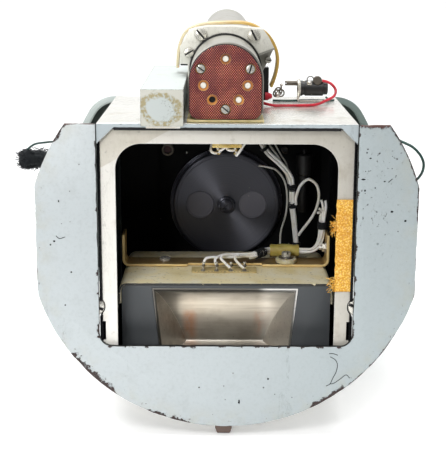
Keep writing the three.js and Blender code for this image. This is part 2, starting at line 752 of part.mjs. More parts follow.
function clipScrew() {
  const seat = clipFoot + 1.2 + GAP;
  const screw = turned([[0, 0], [3.8, 0], [3.8, 0.6], [2.8, 0.6], [2.8, 2.6], [2.2, 3.2], [0, 3.2]], 16);
  screw.rotateX(Math.PI / 2);
  screw.translate(CLIP_X, CLIP_Y, seat);
  return screw;
}

add('reflector_block', reflectorBlock(), blackPaint);
add('reflector', reflectorShell(), mirrorMetal);
add('block_lid', blockLid(), beigePassivated);
add('support_bracket', supportBracket(), goldPassivated);
add('post_strip', postStrip(), copper);
add('cable_clip', cableClip(), yellowBand);
add('clip_screw', clipScrew(), steel);

// ---------------------------------------------------------------- wiring
const HARNESS_RADIUS = 2.3;

add('wiring_harness', cable([
  [8, 55, -22.6],
  [18, 63, -23.2],
  [CLIP_X - 6, CLIP_LOOP_Y, clipLoopZ],
  [CLIP_X + 6, CLIP_LOOP_Y, clipLoopZ],
  [49, 68.5, -22.2],
  [54.4, 66, -18.6],
  [56.8, 64.5, -11],
  [58, 63, -3],
  [56.6, 62, 6.5],
], HARNESS_RADIUS, 20, 6), whiteWire);
add('upright_harness', cable([
  [17, 84, 48],
  [26.7, 85, 32.9],
  [36, 85, 23],
  [40.6, 85, 8.2],
  [40.8, 85, -5],
  [43.7, 85, -24.5],
], HARNESS_RADIUS, 14, 6), whiteWire);
add('loop_wire', cable([
  [43.6, 74, -20],
  [51, 75, -5.2],
  [56.4, 76, 8],
  [54.5, 76, 19],
  [48, 76, 21.5],
  [42, 76, 13],
  [41, 76, 2],
], 1, 20, 6), whiteWire);

// ---------------------------------------------------------------- small electrical pieces
// A brass terminal block that hangs from the chassis top inside the window.
function topTerminals() {
  const block = box([-7.5, 10.6], [22, 40], [48.6, 60.5]);
  const post = (x) => {
    const turnedPost = turned([[0, 0], [1.6, 0], [1.6, 1.2], [1, 1.6], [1, 4.4], [1.7, 4.8], [1.7, 6], [0, 6]], 10);
    turnedPost.rotateX(-Math.PI / 2);
    turnedPost.translate(x, 31, 48.8);
    return turnedPost;
  };
  return join(block, post(-4.5), post(6));
}

const PRESET_Y = 99;
const PRESET_Z = 75;
const SPINDLE_RADIUS = 1.5;

// A turned piece about an axis along +X.
function turnedAlongX(profile, steps, y, z) {
  const geometry = turned(profile, steps);
  geometry.rotateZ(-Math.PI / 2);
  geometry.translate(0, y, z);
  return geometry;
}

function presetBody() {
  const case_ = box([44, 59.4], [93, 105], [BODY_TOP + GAP + 4, 78.4]);
  const nose = turnedAlongX([[0, 42], [3.4, 42], [3.4, 44.5], [0, 44.5]], 16, PRESET_Y, PRESET_Z);
  const foot = box([46, 57], [95, 103], [BODY_TOP + GAP, 69]);
  const tags = [49, 54].map((x) => {
    const tag = turned([[0, 0], [1.8, 0], [1.8, 1], [1.1, 1.3], [1.1, 2.6], [0, 2.6]], 8);
    tag.rotateX(Math.PI / 2);
    tag.translate(x, PRESET_Y - 2, 78.2);
    return tag;
  });
  const bore = turnedAlongX([[0, 41], [SPINDLE_RADIUS + 0.15, 41], [SPINDLE_RADIUS + 0.15, 53], [0, 53]], 16,
    PRESET_Y, PRESET_Z);
  return cut(join(case_, nose, foot, ...tags), bore);
}

function presetSpindle() {
  const tip = 35.8;
  const spindle = turnedAlongX([[0, tip], [SPINDLE_RADIUS - 0.3, tip], [SPINDLE_RADIUS, tip + 0.4],
    [SPINDLE_RADIUS, 52], [0, 52]], 16, PRESET_Y, PRESET_Z);
  return cut(spindle, box([tip - 1, tip + 1.2], [PRESET_Y - 3, PRESET_Y + 3], [PRESET_Z - 0.3, PRESET_Z + 0.3]));
}

add('top_terminals', topTerminals(), goldPassivated);
add('preset_body', presetBody(), blackPaint);
add('preset_spindle', presetSpindle(), steel);
add('red_lead', cable([
  [60.8, 98, 75.5],
  [64.4, 94, 74.2],
  [61, 85, 67.6],
  [50, 76, 65],
  [38, 72.5, 65],
  [30.5, 76, 66.4],
  [27, 88, 68.5],
], 0.9, 26, 6), redWire);
add('green_lead', cable([
  [78, 134, 40],
  [86, 124, 44],
  [99, 100, 47],
  [107, 70, 44],
  [112.5, 61, 38],
  [114.5, 60, 31],
  [109, 74, 22],
  [97, 112, 18],
  [88, 134, 18],
], 1.1, 24, 6), greenWire);
add('cable_sleeve', cable([
  [-86, 132, 20],
  [-97, 112, 24],
  [-106, 80, 30],
  [-112, 64, 33],
  [-119.5, 58, 33.5],
], 5, 14, 9), braid);

unit.position.y = -COVER_BACK;

export default unit;
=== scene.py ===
import math
import random
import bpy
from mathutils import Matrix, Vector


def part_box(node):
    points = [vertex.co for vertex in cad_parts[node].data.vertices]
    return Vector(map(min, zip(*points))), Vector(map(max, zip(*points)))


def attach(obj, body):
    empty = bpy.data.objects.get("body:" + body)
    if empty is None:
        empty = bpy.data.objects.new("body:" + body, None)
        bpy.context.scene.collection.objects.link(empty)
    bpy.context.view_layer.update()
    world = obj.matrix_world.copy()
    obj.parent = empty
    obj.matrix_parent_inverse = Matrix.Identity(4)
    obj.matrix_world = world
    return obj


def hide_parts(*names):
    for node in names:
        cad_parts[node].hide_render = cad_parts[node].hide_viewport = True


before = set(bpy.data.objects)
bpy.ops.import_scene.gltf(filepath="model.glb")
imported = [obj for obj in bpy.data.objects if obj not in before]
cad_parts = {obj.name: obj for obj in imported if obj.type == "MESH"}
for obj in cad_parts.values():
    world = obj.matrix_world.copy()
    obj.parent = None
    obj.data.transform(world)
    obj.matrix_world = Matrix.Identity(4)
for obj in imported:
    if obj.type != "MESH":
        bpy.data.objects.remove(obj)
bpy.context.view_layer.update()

from types import SimpleNamespace

import bmesh
import bpy
from mathutils import Matrix, Vector, noise

# Everything below is in millimetres until it becomes a Blender object.
MM = 0.001
UNIT = "unit_body"
DISC = "disc"
PRESET = "preset"
TAU = 2 * math.pi

# The grain of metal that has no direction.
EVEN = (1, 1, 1)

# Depths are counted from the front plate's front face, which lies at this depth in the frame.
PLATE_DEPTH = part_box("front_plate")[0].y / MM
TO_FRAME = Vector((0, PLATE_DEPTH, 0))


def box_of(node):
    """A CAD node's box at rest, in millimetres, with depths counted from the front plate."""
    low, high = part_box(node)
    low, high = low / MM - TO_FRAME, high / MM - TO_FRAME
    return SimpleNamespace(
        left=low.x, right=high.x, front=low.y, back=high.y, bottom=low.z, top=high.z,
        x=(low.x + high.x) / 2, y=(low.y + high.y) / 2, z=(low.z + high.z) / 2)


# ---------------------------------------------------------------- materials

def rgb(code):
    """A linear colour from a hexadecimal sRGB one."""
    channels = [int(code[i:i + 2], 16) / 255 for i in (0, 2, 4)]
    return [c / 12.92 if c <= 0.04045 else ((c + 0.055) / 1.055) ** 2.4 for c in channels] + [1]


class Value:
    """A node's output that adds, subtracts, multiplies and divides like a number."""

    def __init__(self, graph, socket):
        self.graph = graph
        self.socket = socket

    def __add__(self, other):
        return self.graph.math("ADD", self, other)

    def __radd__(self, other):
        return self.graph.math("ADD", other, self)

    def __sub__(self, other):
        return self.graph.math("SUBTRACT", self, other)

    def __rsub__(self, other):
        return self.graph.math("SUBTRACT", other, self)

    def __mul__(self, other):
        return self.graph.math("MULTIPLY", self, other)

    def __truediv__(self, other):
        return self.graph.math("DIVIDE", self, other)

    def __abs__(self):
        return self.graph.math("ABSOLUTE", self)


class Graph:
    """A material and short calls for the nodes that the materials share. Lengths are in millimetres."""

    def __init__(self, name, colour, roughness=0.5, metallic=0.0):
        self.material = bpy.data.materials.new(name)
        self.material.use_nodes = True
        self.tree = self.material.node_tree
        self.surface = self.tree.nodes["Principled BSDF"]
        self.place = self.value("Object", "TexCoord")
        self.colour = rgb(colour)
        self.set("Base Color", self.colour)
        self.set("Roughness", roughness)
        self.set("Metallic", metallic)

    def node(self, kind, values=None, **settings):
        made = self.tree.nodes.new("ShaderNode" + kind)
        for key, value in settings.items():
            setattr(made, key, value)
        for key, value in (values or {}).items():
            self.feed(made.inputs[key], value)
        return made

    def value(self, output, kind, values=None, **settings):
        return Value(self, self.node(kind, values, **settings).outputs[output])

    def feed(self, socket, value):
        if isinstance(value, Value):
            value = value.socket
        if isinstance(value, bpy.types.NodeSocket):
            self.tree.links.new(value, socket)
        else:
            socket.default_value = value

    def set(self, name, value):
        self.feed(self.surface.inputs[name], value)
        return self

    def scaled(self, size, stretch=(1, 1, 1), shift=0.0):
        """The place on the object, counted in units of size."""
        scale = [s / (size * MM) for s in stretch]
        return self.value("Vector", "Mapping",
                          {"Vector": self.place, "Scale": scale, "Location": (shift,) * 3})

    def noise(self, size, detail=3.0, stretch=(1, 1, 1), shift=0.0, rough=0.55):
        values = {"Vector": self.scaled(size, stretch, shift), "Scale": 1.0, "Detail": detail,
                  "Roughness": rough}
        return self.value("Fac", "TexNoise", values)

    def cells(self, size, shift=0.0, stretch=(1, 1, 1)):
        values = {"Vector": self.scaled(size, stretch, shift), "Scale": 1.0}
        return self.node("TexVoronoi", values, feature="F1")

    def math(self, operation, a, b=0.0, clamp=False):
        made = self.node("Math", operation=operation, use_clamp=clamp)
        self.feed(made.inputs[0], a)
        self.feed(made.inputs[1], b)
        return Value(self, made.outputs[0])

    def larger(self, a, b):
        return self.math("MAXIMUM", a, b)

    def smaller(self, a, b):
        return self.math("MINIMUM", a, b)

    def step(self, value, low, high):
        """0 below low, 1 above high and smooth between them; low above high turns it round."""
        flipped = low > high
        limits = {"From Min": high, "From Max": low} if flipped else {"From Min": low, "From Max": high}
        ends = {"To Min": 1.0, "To Max": 0.0} if flipped else {"To Min": 0.0, "To Max": 1.0}
        return self.value("Result", "MapRange", {"Value": value, **limits, **ends},
                          interpolation_type="SMOOTHSTEP")

    def between(self, value, low, high):
        """A 0 to 1 value spread from low to high."""
        return self.value("Result", "MapRange", {"Value": value, "To Min": low, "To Max": high})

    def mix(self, factor, first, second):
        made = self.node("Mix", data_type="RGBA")
        self.feed(made.inputs["Factor"], factor)
        self.feed(made.inputs[6], first)
        self.feed(made.inputs[7], second)
        return made.outputs[2]

    def axis(self, name):
        """One coordinate of the place, in millimetres."""
        return self.value(name, "SeparateXYZ", {"Vector": self.place}) / MM

    def edges(self, radius):
        """1 along edges, within about a radius of them."""
        sharpness = 0.12
        true_normal = self.value("Normal", "NewGeometry")
        soft = self.value("Normal", "Bevel", {"Radius": radius * MM}, samples=6)
        dot = self.value("Value", "VectorMath", {0: true_normal, 1: soft}, operation="DOT_PRODUCT")
        return self.step(dot, 1 - 0.1 * sharpness, 1 - sharpness)

    def facing(self, axis):
        """One coordinate of the direction the surface looks in."""
        normal = self.value("Normal", "NewGeometry")
        return self.value(axis, "SeparateXYZ", {"Vector": normal})

    def crevices(self, reach):
        """1 deep in slots and corners narrower than a reach."""
        open_part = self.value("AO", "AmbientOcclusion", {"Distance": reach * MM}, samples=6)
        return self.step(open_part, 0.75, 0.3)

    def window(self, value, low, high, soft):
        """1 from low to high, fading out over soft on either side."""
        return self.step(value, low - soft, low) * self.step(value, high + soft, high)

    def so_far(self, name):
        """What feeds one of the surface's inputs by now."""
        return self.surface.inputs[name].links[0].from_socket

    def paint_over(self, factor, code):
        """Lays a colour over what the surface has so far."""
        return self.set("Base Color", self.mix(factor, self.so_far("Base Color"), rgb(code)))

    def bump(self, height, depth, strength=1.0, after=None):
        values = {"Height": height, "Distance": depth * MM, "Strength": strength}
        if after is not None:
            values["Normal"] = after
        return self.value("Normal", "Bump", values)


def speckles(graph, spacing, size, share, shift=0.0):
    """1 in small round specks, on a share of a grid of cells."""
    cell = graph.cells(spacing, shift=shift)
    chosen = graph.value(0, "SeparateColor", {"Color": cell.outputs["Color"]})
    dot = graph.step(cell.outputs["Distance"], size / spacing, 0.6 * size / spacing)
    return dot * graph.step(chosen, 1 - share, 1 - share + 0.01)


def painted(name, colour, chip, roughness=0.5, wear=0.5, dirt="8d8a80", edge_radius=0.9):
    """Old sprayed paint: uneven tone, stains, specks, scratches and chips down to metal along the edges."""
    g = Graph(name, colour, roughness)
    tone = g.mix(g.noise(46, 4), rgb(colour), rgb(dirt))
    base = g.mix(0.86, tone, rgb(colour))
    stain = g.step(g.noise(13, 5, shift=7), 0.56, 0.78) * 0.3
    base = g.mix(stain, base, rgb(dirt))
    chipped = g.edges(edge_radius) * g.step(g.noise(2.6, 4, shift=3), 0.62 - 0.2 * wear, 0.6)
    specks = g.larger(speckles(g, 7, 0.6, 0.16), speckles(g, 17, 1.1, 0.3, shift=9))
    scratch_field = g.noise(16, 6, stretch=(1, 1, 0.12), shift=11, rough=0.75)
    scratch = g.step(abs(scratch_field - 0.62), 0.006, 0.0)
    marks = g.larger(chipped, g.larger(specks, scratch * 0.35))
    g.set("Base Color", g.mix(marks, base, rgb(chip)))
    g.set("Roughness", g.between(g.noise(6, 3), roughness - 0.08, roughness + 0.12))
    peel = g.bump(g.noise(0.9, 2), 0.05)
    g.set("Normal", g.bump(marks, -0.12, after=peel))
    return g


def plate_paint():
    """The front plate's paint, with painted shade towards its right, painted light at its upper left and
    painted shade on the walls of its slot. Its chips follow the distance to the plate's own outline.
    """
    half_width, radius, top = front_plate.right, -front_plate.bottom, front_plate.top
    g = painted("plate_paint", "c2c9cb", "1d1a1b", wear=0.1, dirt="a4a9a8")
    x, z = g.axis("X"), g.axis("Z")
    side = abs(x)
    from_axis = g.math("SQRT", x * x + z * z)
    rim = g.smaller(radius - from_axis, half_width - side)
    across = side - (slot_half - SLOT_CORNER)
    down = SLOT_BOTTOM + SLOT_CORNER - z
    across_out = g.larger(across, 0.0)
    down_out = g.larger(down, 0.0)
    corner = g.math("SQRT", across_out * across_out + down_out * down_out)
    slot = corner - SLOT_CORNER
    ragged = g.step(g.noise(2.6, 8, shift=5, rough=0.8), 0.25, 0.75)
    lower = g.step(z, -20, -45)
    rim_reach = 0.25 + g.step(g.noise(9, 3, shift=2), 0.5, 0.65) * 0.5
    for low, high, depth in ((-83, -63, 5.0), (-42, -35, 2.6), (-29, -22, 2.8), (49, 64, 3.8), (70, 90, 0.9)):
        worn = g.window(x, low, high, 3) * lower
        rim_reach += worn * depth
    for low, high, base, depth in ((72, 110, 15, 1.1), (-90, -80, 54, 2.2)):
        worn = g.window(x, low, high, 3) * g.window(z, base, top, 6)
        rim_reach += worn * depth
    rim_chip = g.step(rim - ragged * rim_reach, 0.1, -0.15)
    top_reach = 0.5 + g.step(x, 66, 74) * 2.4
    top_reach += g.step(x, -80, -90) * 1.6
    from_top = top - z - ragged * top_reach
    top_chip = g.step(from_top, 0.2, -0.3)
    fine_patches = g.step(g.noise(5, 3, shift=8), 0.5, 0.6)
    slot_reach = ragged * (fine_patches * 1.9 + 0.25)
    slot_chip = g.step(slot - slot_reach, 0.0, -0.4)
    rub = g.noise(2.2, 5, shift=21, rough=0.72)
    peppered = g.window(x, 70, 88, 8) * g.step(z, -30, 30)
    spots = g.step(rub, 0.635, 0.65) * peppered
    spots = g.larger(spots, g.step(rub, 0.66, 0.68) * g.step(rim, 7, 2))
    spots = g.larger(spots, speckles(g, 5.5, 0.42, 0.35, shift=19) * 0.7)
    chip = g.larger(g.larger(rim_chip, slot_chip), g.larger(top_chip, spots))
    # Painted shade darkens the plate towards its right; painted light brightens its upper left.
    g.paint_over(g.step(x, -60, 110) * 0.62, "9ca8aa")
    g.paint_over(g.step(z, 10, 60) * g.step(x, -50, -80) * 0.35, "e9eeef")
    g.paint_over(g.step(g.noise(1.9, 5, shift=41, rough=0.7), 0.45, 0.7) * 0.16, "8e9796")
    yellowing = g.step(rim, 14, 1) * g.step(g.noise(9, 5, shift=31), 0.4, 0.65)
    g.paint_over(yellowing * 0.2, "b5ad90")
    paint = g.so_far("Base Color")
    rust = g.larger(g.noise(1.4, 4) * 0.5, top_chip * 0.75)
    under = g.mix(rust, rgb("141416"), rgb("62423a"))
    g.set("Base Color", g.mix(chip, paint, under))
    # Painted shade: the walls of the slot are near black, for the dark gap beside the frame.
    shaded_slot_wall = g.step(abs(g.facing("Y")), 0.8, 0.6) * g.step(slot, 1.5, 0.8)
    g.paint_over(shaded_slot_wall, "060606")
    g.set("Normal", g.bump(chip, -0.25, after=g.so_far("Normal")))
    return g.material


def drum_paint():
    """The drum's paint, with painted light turning the faces that look up almost white, painted shade on the
    right of its front faces, and darker along its edges.
    """
    g = painted("drum_paint", "b9c2bf", "3a3b38", roughness=0.3, wear=0.6, dirt="a2aaa6")
    # Painted light: faces that look up are turned almost white.
    g.paint_over(g.step(g.facing("Z"), 0.2, 0.8) * 0.93, "fdfefe")
    # Painted shade on the right half of the faces that look forward.
    front = g.step(g.facing("Y"), -0.5, -0.8)
    g.paint_over(front * g.step(g.axis("X"), -10, 50) * 0.8, "5f6f6a")
    g.paint_over(g.edges(0.7) * 0.8, "56625e")
    return g.material


def duct_paint(duct):
    """The duct's paint: a dried yellow-brown ring and corroded specks on its front face, and painted shade on
    the face that looks right.
    """
    g = painted("duct_paint", "c6cecd", "6f6a5c", wear=0.8, dirt="b3a67c", edge_radius=1.3)
    front = g.step(g.facing("Y"), -0.6, -0.9)
    half = (duct.right - duct.left) / 2
    across = (g.axis("X") - (duct.x - 1.0)) / half
    up = (g.axis("Z") - (duct.z + 0.6)) / (half * 0.86)
    wander = (g.noise(7, 4, shift=3) - 0.5) * 0.7
    reach = g.math("SQRT", across * across + up * up) + wander
    ring = g.window(reach, 0.74, 0.92, 0.12) * g.step(g.noise(1.5, 5, shift=9), 0.3, 0.6)
    outside = g.step(reach, 0.85, 1.05)
    specks = g.step(g.noise(0.9, 4, shift=23, rough=0.8), 0.55, 0.62) * g.window(reach, 0.4, 0.8, 0.1)
    specks *= g.step(across, -0.1, 0.3)
    g.paint_over(outside * front * 0.6, "d3cdbd")
    g.paint_over(ring * front * 0.85, "a2915c")
    g.paint_over(specks * front * 0.8, "6c6f6a")
    # Painted shade on the face that looks right.
    shaded_side = g.step(g.facing("X"), 0.6, 0.9)
    g.paint_over(shaded_side * 0.4, "7e8a8f")
    worn = g.edges(0.6) * g.step(g.noise(1.3, 3, shift=29), 0.42, 0.5)
    g.paint_over(worn * 0.8, "35322e")
    return g.material


def inside_black(g, front):
    """Blackens the faces of a shell that look towards the unit's main axis, and, as painted shade for the
    dark gap round the frame, its front edge at a depth.
    """
    normal = g.value("Normal", "NewGeometry")
    outward = g.value("Vector", "VectorMath", {0: normal, 1: g.place}, operation="MULTIPLY")
    sideways, upwards = (g.value(name, "SeparateXYZ", {"Vector": outward}) for name in "XZ")
    facing = (sideways + upwards) / MM
    # Painted shade: the front edge is blackened so the gap beside the frame reads dark.
    edge = g.step(g.axis("Y"), front + PLATE_DEPTH + 1.8, front + PLATE_DEPTH + 1.0)
    edge *= g.step(g.axis("Z"), lip.bottom, lip.bottom - 1)
    black = g.larger(g.step(facing, 12, 4), edge)
    paint = g.so_far("Base Color")
    g.set("Base Color", g.mix(black, paint, rgb("08080a")))
    g.set("Metallic", (1.0 - black) * 0.75)
    g.set("Specular IOR Level", g.between(black, 0.5, 0.12))
    return g.material


def aluminium(name, colour="dcdad3", grain=(1, 1, 0.03), roughness=0.42, stain=0.5, metallic=0.75, grime_and_shade=0.0,
              relief=0.03):
    """Bare sheet: fine directional grain, blotches of brown oxide and bright handling scratches, with its
    crevices darkened where asked, partly as grime and partly as painted shade.
    """
    g = Graph(name, colour, roughness, metallic)
    blotch = g.step(g.noise(18, 5, shift=4, rough=0.65), 0.5, 0.8) * stain
    base = g.mix(blotch, rgb(colour), rgb("a3947a"))
    smudge = g.step(g.noise(3.5, 5, shift=9), 0.6, 0.75) * (0.35 * stain)
    base = g.mix(smudge, base, rgb("5e564b"))
    fine = g.noise(0.5, 3, stretch=grain)
    long = g.noise(14, 7, stretch=(1, 1, 0.2), shift=15, rough=0.8)
    scratch = g.step(abs(long - 0.55), 0.008, 0.0)
    base = g.mix(scratch * 0.3, base, rgb("8b857a"))
    base = g.mix(speckles(g, 7, 0.45, 0.3, shift=3) * 0.8, base, rgb("37322d"))
    g.set("Base Color", base)
    g.set("Roughness", g.between(fine * 0.5 + blotch * 0.6, roughness - 0.1, roughness + 0.2))
    g.set("Normal", g.bump(fine, relief, 0.5))
    # Dark in slots, gaps and corners: partly grime, partly painted shade.
    if grime_and_shade:
        g.paint_over(g.crevices(1.6) * grime_and_shade, "12100e")
    return g


def frame_sheet():
    """The inner frame's sheet: bright below a stain that ends in a slanted line at its top left, with painted
    shade towards its right and its top and painted highlights along its edges.
    """
    g = aluminium("frame_sheet", "f7f4ec", grain=(0.5, 1, 0.05), stain=0.6, metallic=0.2)
    x, z = g.axis("X"), g.axis("Z")
    slope, foot_x, foot_z = 0.55, -66.3, 40.3
    line = z - (x - foot_x) * slope
    stained = g.step(line, foot_z - 0.3, foot_z + 0.4)
    g.paint_over(stained * g.between(g.noise(9, 5, shift=51), 0.3, 0.75), "cfc6b2")
    # Painted shade: darker towards the right and along the top.
    g.paint_over(g.step(x, -50, 70) * 0.6, "a39d8f")
    g.paint_over(g.step(z, 42, 58) * 0.3, "b9b2a2")
    dirt = g.step(g.noise(2.2, 6, shift=44, rough=0.75), 0.56, 0.7) * stained
    g.paint_over(dirt * 0.35, "6b6355")
    # Painted highlight along the edges.
    g.paint_over(g.edges(0.6) * 0.75, "ffffff")
    return g.material


def clamp_metal():
    """Cast metal, brightest at its upper left, with painted shade on the face below the slanted edge at its
    right.
    """
    g = aluminium("clamp_metal", "e6e4da", EVEN, 0.45, stain=0.8, metallic=0.3, grime_and_shade=0.85)
    x, z = g.axis("X"), g.axis("Z")
    corner_x, corner_z, slope = 17.4, 95.0, 0.36
    above = z - corner_z - (x - corner_x) * slope
    # Painted shade on the set-back face at the right.
    shaded = g.step(x, 15.5, 17.5) * g.step(above, 0.4, -0.2)
    g.paint_over(shaded * 0.75, "6d6b62")
    g.paint_over(g.step(g.noise(5, 5, shift=61), 0.5, 0.75) * 0.4, "9b978a")
    g.paint_over(g.edges(0.5) * 0.5, "fbfaf4")
    return g.material


def black_coat(name, colour="050507", roughness=0.6, dust=0.1, spread=6.0, shine=0.15):
    """Matt black coating with settled dust and pale specks."""
    g = Graph(name, colour, roughness)
    g.set("Specular IOR Level", shine)
    haze = g.noise(20, 5, shift=2) * (0.06 * dust)
    base = g.mix(haze, rgb(colour), rgb("a7a39a"))
    specks = g.larger(speckles(g, spread, 0.35, 0.16), speckles(g, spread * 2.3, 0.6, 0.1, shift=8))
    base = g.mix(specks * 0.85, base, rgb("b9b4a6"))
    g.set("Base Color", base)
    g.set("Roughness", g.between(g.noise(4, 4), roughness - 0.1, roughness + 0.15))
    g.set("Normal", g.bump(g.noise(0.35, 2), 0.03))
    return g


def turned_metal(name, colour, roughness, pitch=0.32, rim=0.0):
    """Metal off a lathe: fine rings about the piece's own y axis, the fan-shaped sheen they give, and, if
    asked for, a painted highlight along its edges.
    """
    g = Graph(name, colour, roughness, 0.7)
    centred = g.value("Generated", "TexCoord")
    offset = g.value("Vector", "VectorMath", {0: centred, 1: (0.5, 0.5, 0.5)}, operation="SUBTRACT")
    planar = g.value("Vector", "VectorMath", {0: offset, 1: (1, 0, 1)}, operation="MULTIPLY")
    reach = g.value("Value", "VectorMath", {0: planar}, operation="LENGTH")
    ring = g.value("Fac", "TexNoise", {"W": reach * (60 / pitch), "Scale": 1.0, "Detail": 3.0},
                   noise_dimensions="1D")
    base = g.mix(ring * 0.5, rgb(colour), rgb("000000"))
    base = g.mix(speckles(g, 8, 0.35, 0.15) * 0.7, base, rgb("a8a49a"))
    g.set("Base Color", base)
    g.set("Roughness", g.between(g.noise(7, 4), roughness - 0.04, roughness + 0.12))
    g.set("Anisotropic", 0.85)
    g.set("Anisotropic Rotation", 0.25)
    g.set("Tangent", g.value("Tangent", "Tangent", direction_type="RADIAL", axis="Y"))
    g.set("Normal", g.bump(ring, 0.02, 0.6))
    # Painted highlight along the edges.
    if rim:
        g.paint_over(g.edges(0.35) * rim, "c9cad2")
    return g


def passivated(name, first, second, third, roughness=0.42, metallic=0.0, worn="8b8271"):
    """Plated sheet with the cloudy colours of a passivated finish, rubbed pale on its edges."""
    g = Graph(name, first, roughness, metallic)
    cloud = g.mix(g.step(g.noise(11, 4), 0.35, 0.65), rgb(first), rgb(second))
    cloud = g.mix(g.step(g.noise(24, 3, shift=6), 0.5, 0.72), cloud, rgb(third))
    cloud = g.mix(g.step(g.noise(1.8, 4, shift=8), 0.6, 0.72) * 0.5, cloud, rgb("4a3a26"))
    cloud = g.mix(g.edges(0.5) * 0.55, cloud, rgb(worn))
    g.set("Base Color", cloud)
    g.set("Roughness", g.between(g.noise(3, 4), roughness - 0.12, roughness + 0.15))
    g.set("Normal", g.bump(g.noise(0.6, 3), 0.03))
    return g


def black_edged(g):
    """Carries the black paint of the block's front on to the sheet's front edge, with pale chips."""
    front = g.step(g.facing("Y"), -0.9, -0.98)
    chips = g.step(g.noise(3.0, 5, shift=14, rough=0.7), 0.6, 0.64)
    black = front * (1.0 - chips)
    return g.paint_over(black, "232426").material


def edge_lit(g, edge, flat):
    """A bent sheet with a painted highlight on its cut front edge and a flat top darkened partly by dirt and
    partly by painted shade.
    """
    # Darker flat top: dirt and painted shade.
    g.paint_over(g.step(g.facing("Z"), 0.7, 0.95) * 0.7, flat)
    # Painted highlight on the cut front edge.
    g.paint_over(g.step(g.facing("Y"), -0.6, -0.9) * 0.85, edge)
    return g.material


def polished_reflector(front):
    """Hand-polished sheet: long horizontal rubbing marks, tarnish towards its corners, painted warm
    reflections low down, painted shade on its upper part and painted highlights along its edges and on a
    patch at its lower right.
    """
    g = Graph("polished_reflector", "d6d0c6", 0.3, 0.9)
    rub = g.noise(1.6, 6, stretch=(0.03, 1, 1), rough=0.65)
    streak = g.noise(5, 4, stretch=(0.06, 1, 1), shift=17, rough=0.6)
    tarnish = g.step(g.noise(13, 5, shift=12), 0.42, 0.75)
    across = abs(g.axis("X"))
    corner = g.step(across, 24, 40)
    # Painted warm reflections low down on either side.
    warm_reflection = g.step(across, 15, 21) * g.step(across, 27, 22)
    warm_reflection *= g.step(g.noise(7, 4, stretch=(1, 0.4, 0.35), shift=31), 0.36, 0.62)
    base = g.mix(streak, rgb("aaa59b"), rgb("e6e1d8"))
    # Painted shade: the upper part is darker.
    base = g.mix(g.step(g.axis("Z"), -44, -37) * 0.5, base, rgb("6e6961"))
    base = g.mix(tarnish * 0.4, base, rgb("8f8576"))
    base = g.mix(corner * 0.1, base, rgb("7d7266"))
    warm_reflection *= g.window(g.axis("Z"), -70, -56, 7)
    base = g.mix(warm_reflection * 0.6, base, rgb("cd8450"))
    rim = g.step(g.axis("Y"), front + PLATE_DEPTH + 1.2, front + PLATE_DEPTH + 0.6)
    # Painted highlights along the edges and creases.
    base = g.mix(g.edges(0.7) * 0.8, base, rgb("fffaf0"))
    base = g.mix(rim * 0.8, base, rgb("44413c"))
    # Painted highlight on a patch at the lower right.
    highlight_patch = g.step(g.axis("X"), 17, 24) * g.step(g.axis("Z"), -76, -70)
    base = g.mix(highlight_patch * 0.6, base, rgb("fffdf8"))
    base = g.mix(g.step(rub, 0.55, 0.75) * 0.4, base, rgb("6f685e"))
    base = g.mix(speckles(g, 5, 0.45, 0.15) * 0.6, base, rgb("3c342c"))
    g.set("Base Color", base)
    g.set("Roughness", g.between(rub, 0.2, 0.46))
    g.set("Normal", g.bump(rub, 0.05, 0.7))
    return g.material


def woven_laminate():
    """Phenolic laminate: a maroon resin face with the fabric's crossings showing as rows of orange dots."""
    g = Graph("woven_laminate", "4a1420", 0.45)
    pitch_x, pitch_z = 1.2, 1.45
    wander = (g.noise(6, 2) - 0.5) * 0.35
    column = g.axis("X") / pitch_x + wander
    row = g.axis("Z") / pitch_z + wander

    def dots(shift):
        across = g.math("FRACT", column + shift) - 0.5
        along = g.math("FRACT", row + shift) - 0.5
        square = across * across + along * along
        return g.step(square, 0.05, 0.02)

    weave = g.larger(dots(0.0), dots(0.5))
    strength = g.between(g.step(g.noise(10, 4, shift=5), 0.35, 0.65), 0.4, 1.0)
    base = g.mix(g.noise(2.5, 4), rgb("380a20"), rgb("5c142b"))
    base = g.mix(g.math("MULTIPLY", weave, strength, True), base, rgb("f89a6c"))
    g.set("Base Color", base)
    g.set("Specular IOR Level", 0.35)
    g.set("Roughness", g.between(g.noise(3, 3), 0.4, 0.6))
    g.set("Normal", g.bump(weave, 0.05, 0.7))
    # Painted shade in the countersinks and other hollows.
    g.paint_over(g.crevices(1.2) * 0.8, "120508")
    return g.material


def fibre_tape():
    """Orange adhesive tape of coarse woven fibre with pale threads and dark gaps."""
    g = Graph("fibre_tape", "eba836", 0.75)
    thread = g.cells(0.85, stretch=(1, 1, 0.8)).outputs["Distance"]
    tint = g.noise(0.9, 5, shift=6, rough=0.7)
    base = g.mix(g.step(thread, 0.2, 0.6), rgb("fdd468"), rgb("dc9c2c"))
    base = g.mix(g.step(tint, 0.52, 0.7) * 0.7, base, rgb("fbe3ae"))
    base = g.mix(g.step(g.noise(0.8, 4, shift=3), 0.6, 0.7) * 0.6, base, rgb("8a4f12"))
    base = g.mix(g.step(g.noise(9, 3, shift=13), 0.5, 0.7) * 0.35, base, rgb("c97d1c"))
    g.set("Base Color", base)
    g.set("Normal", g.bump(thread, -0.15))
    return g.material


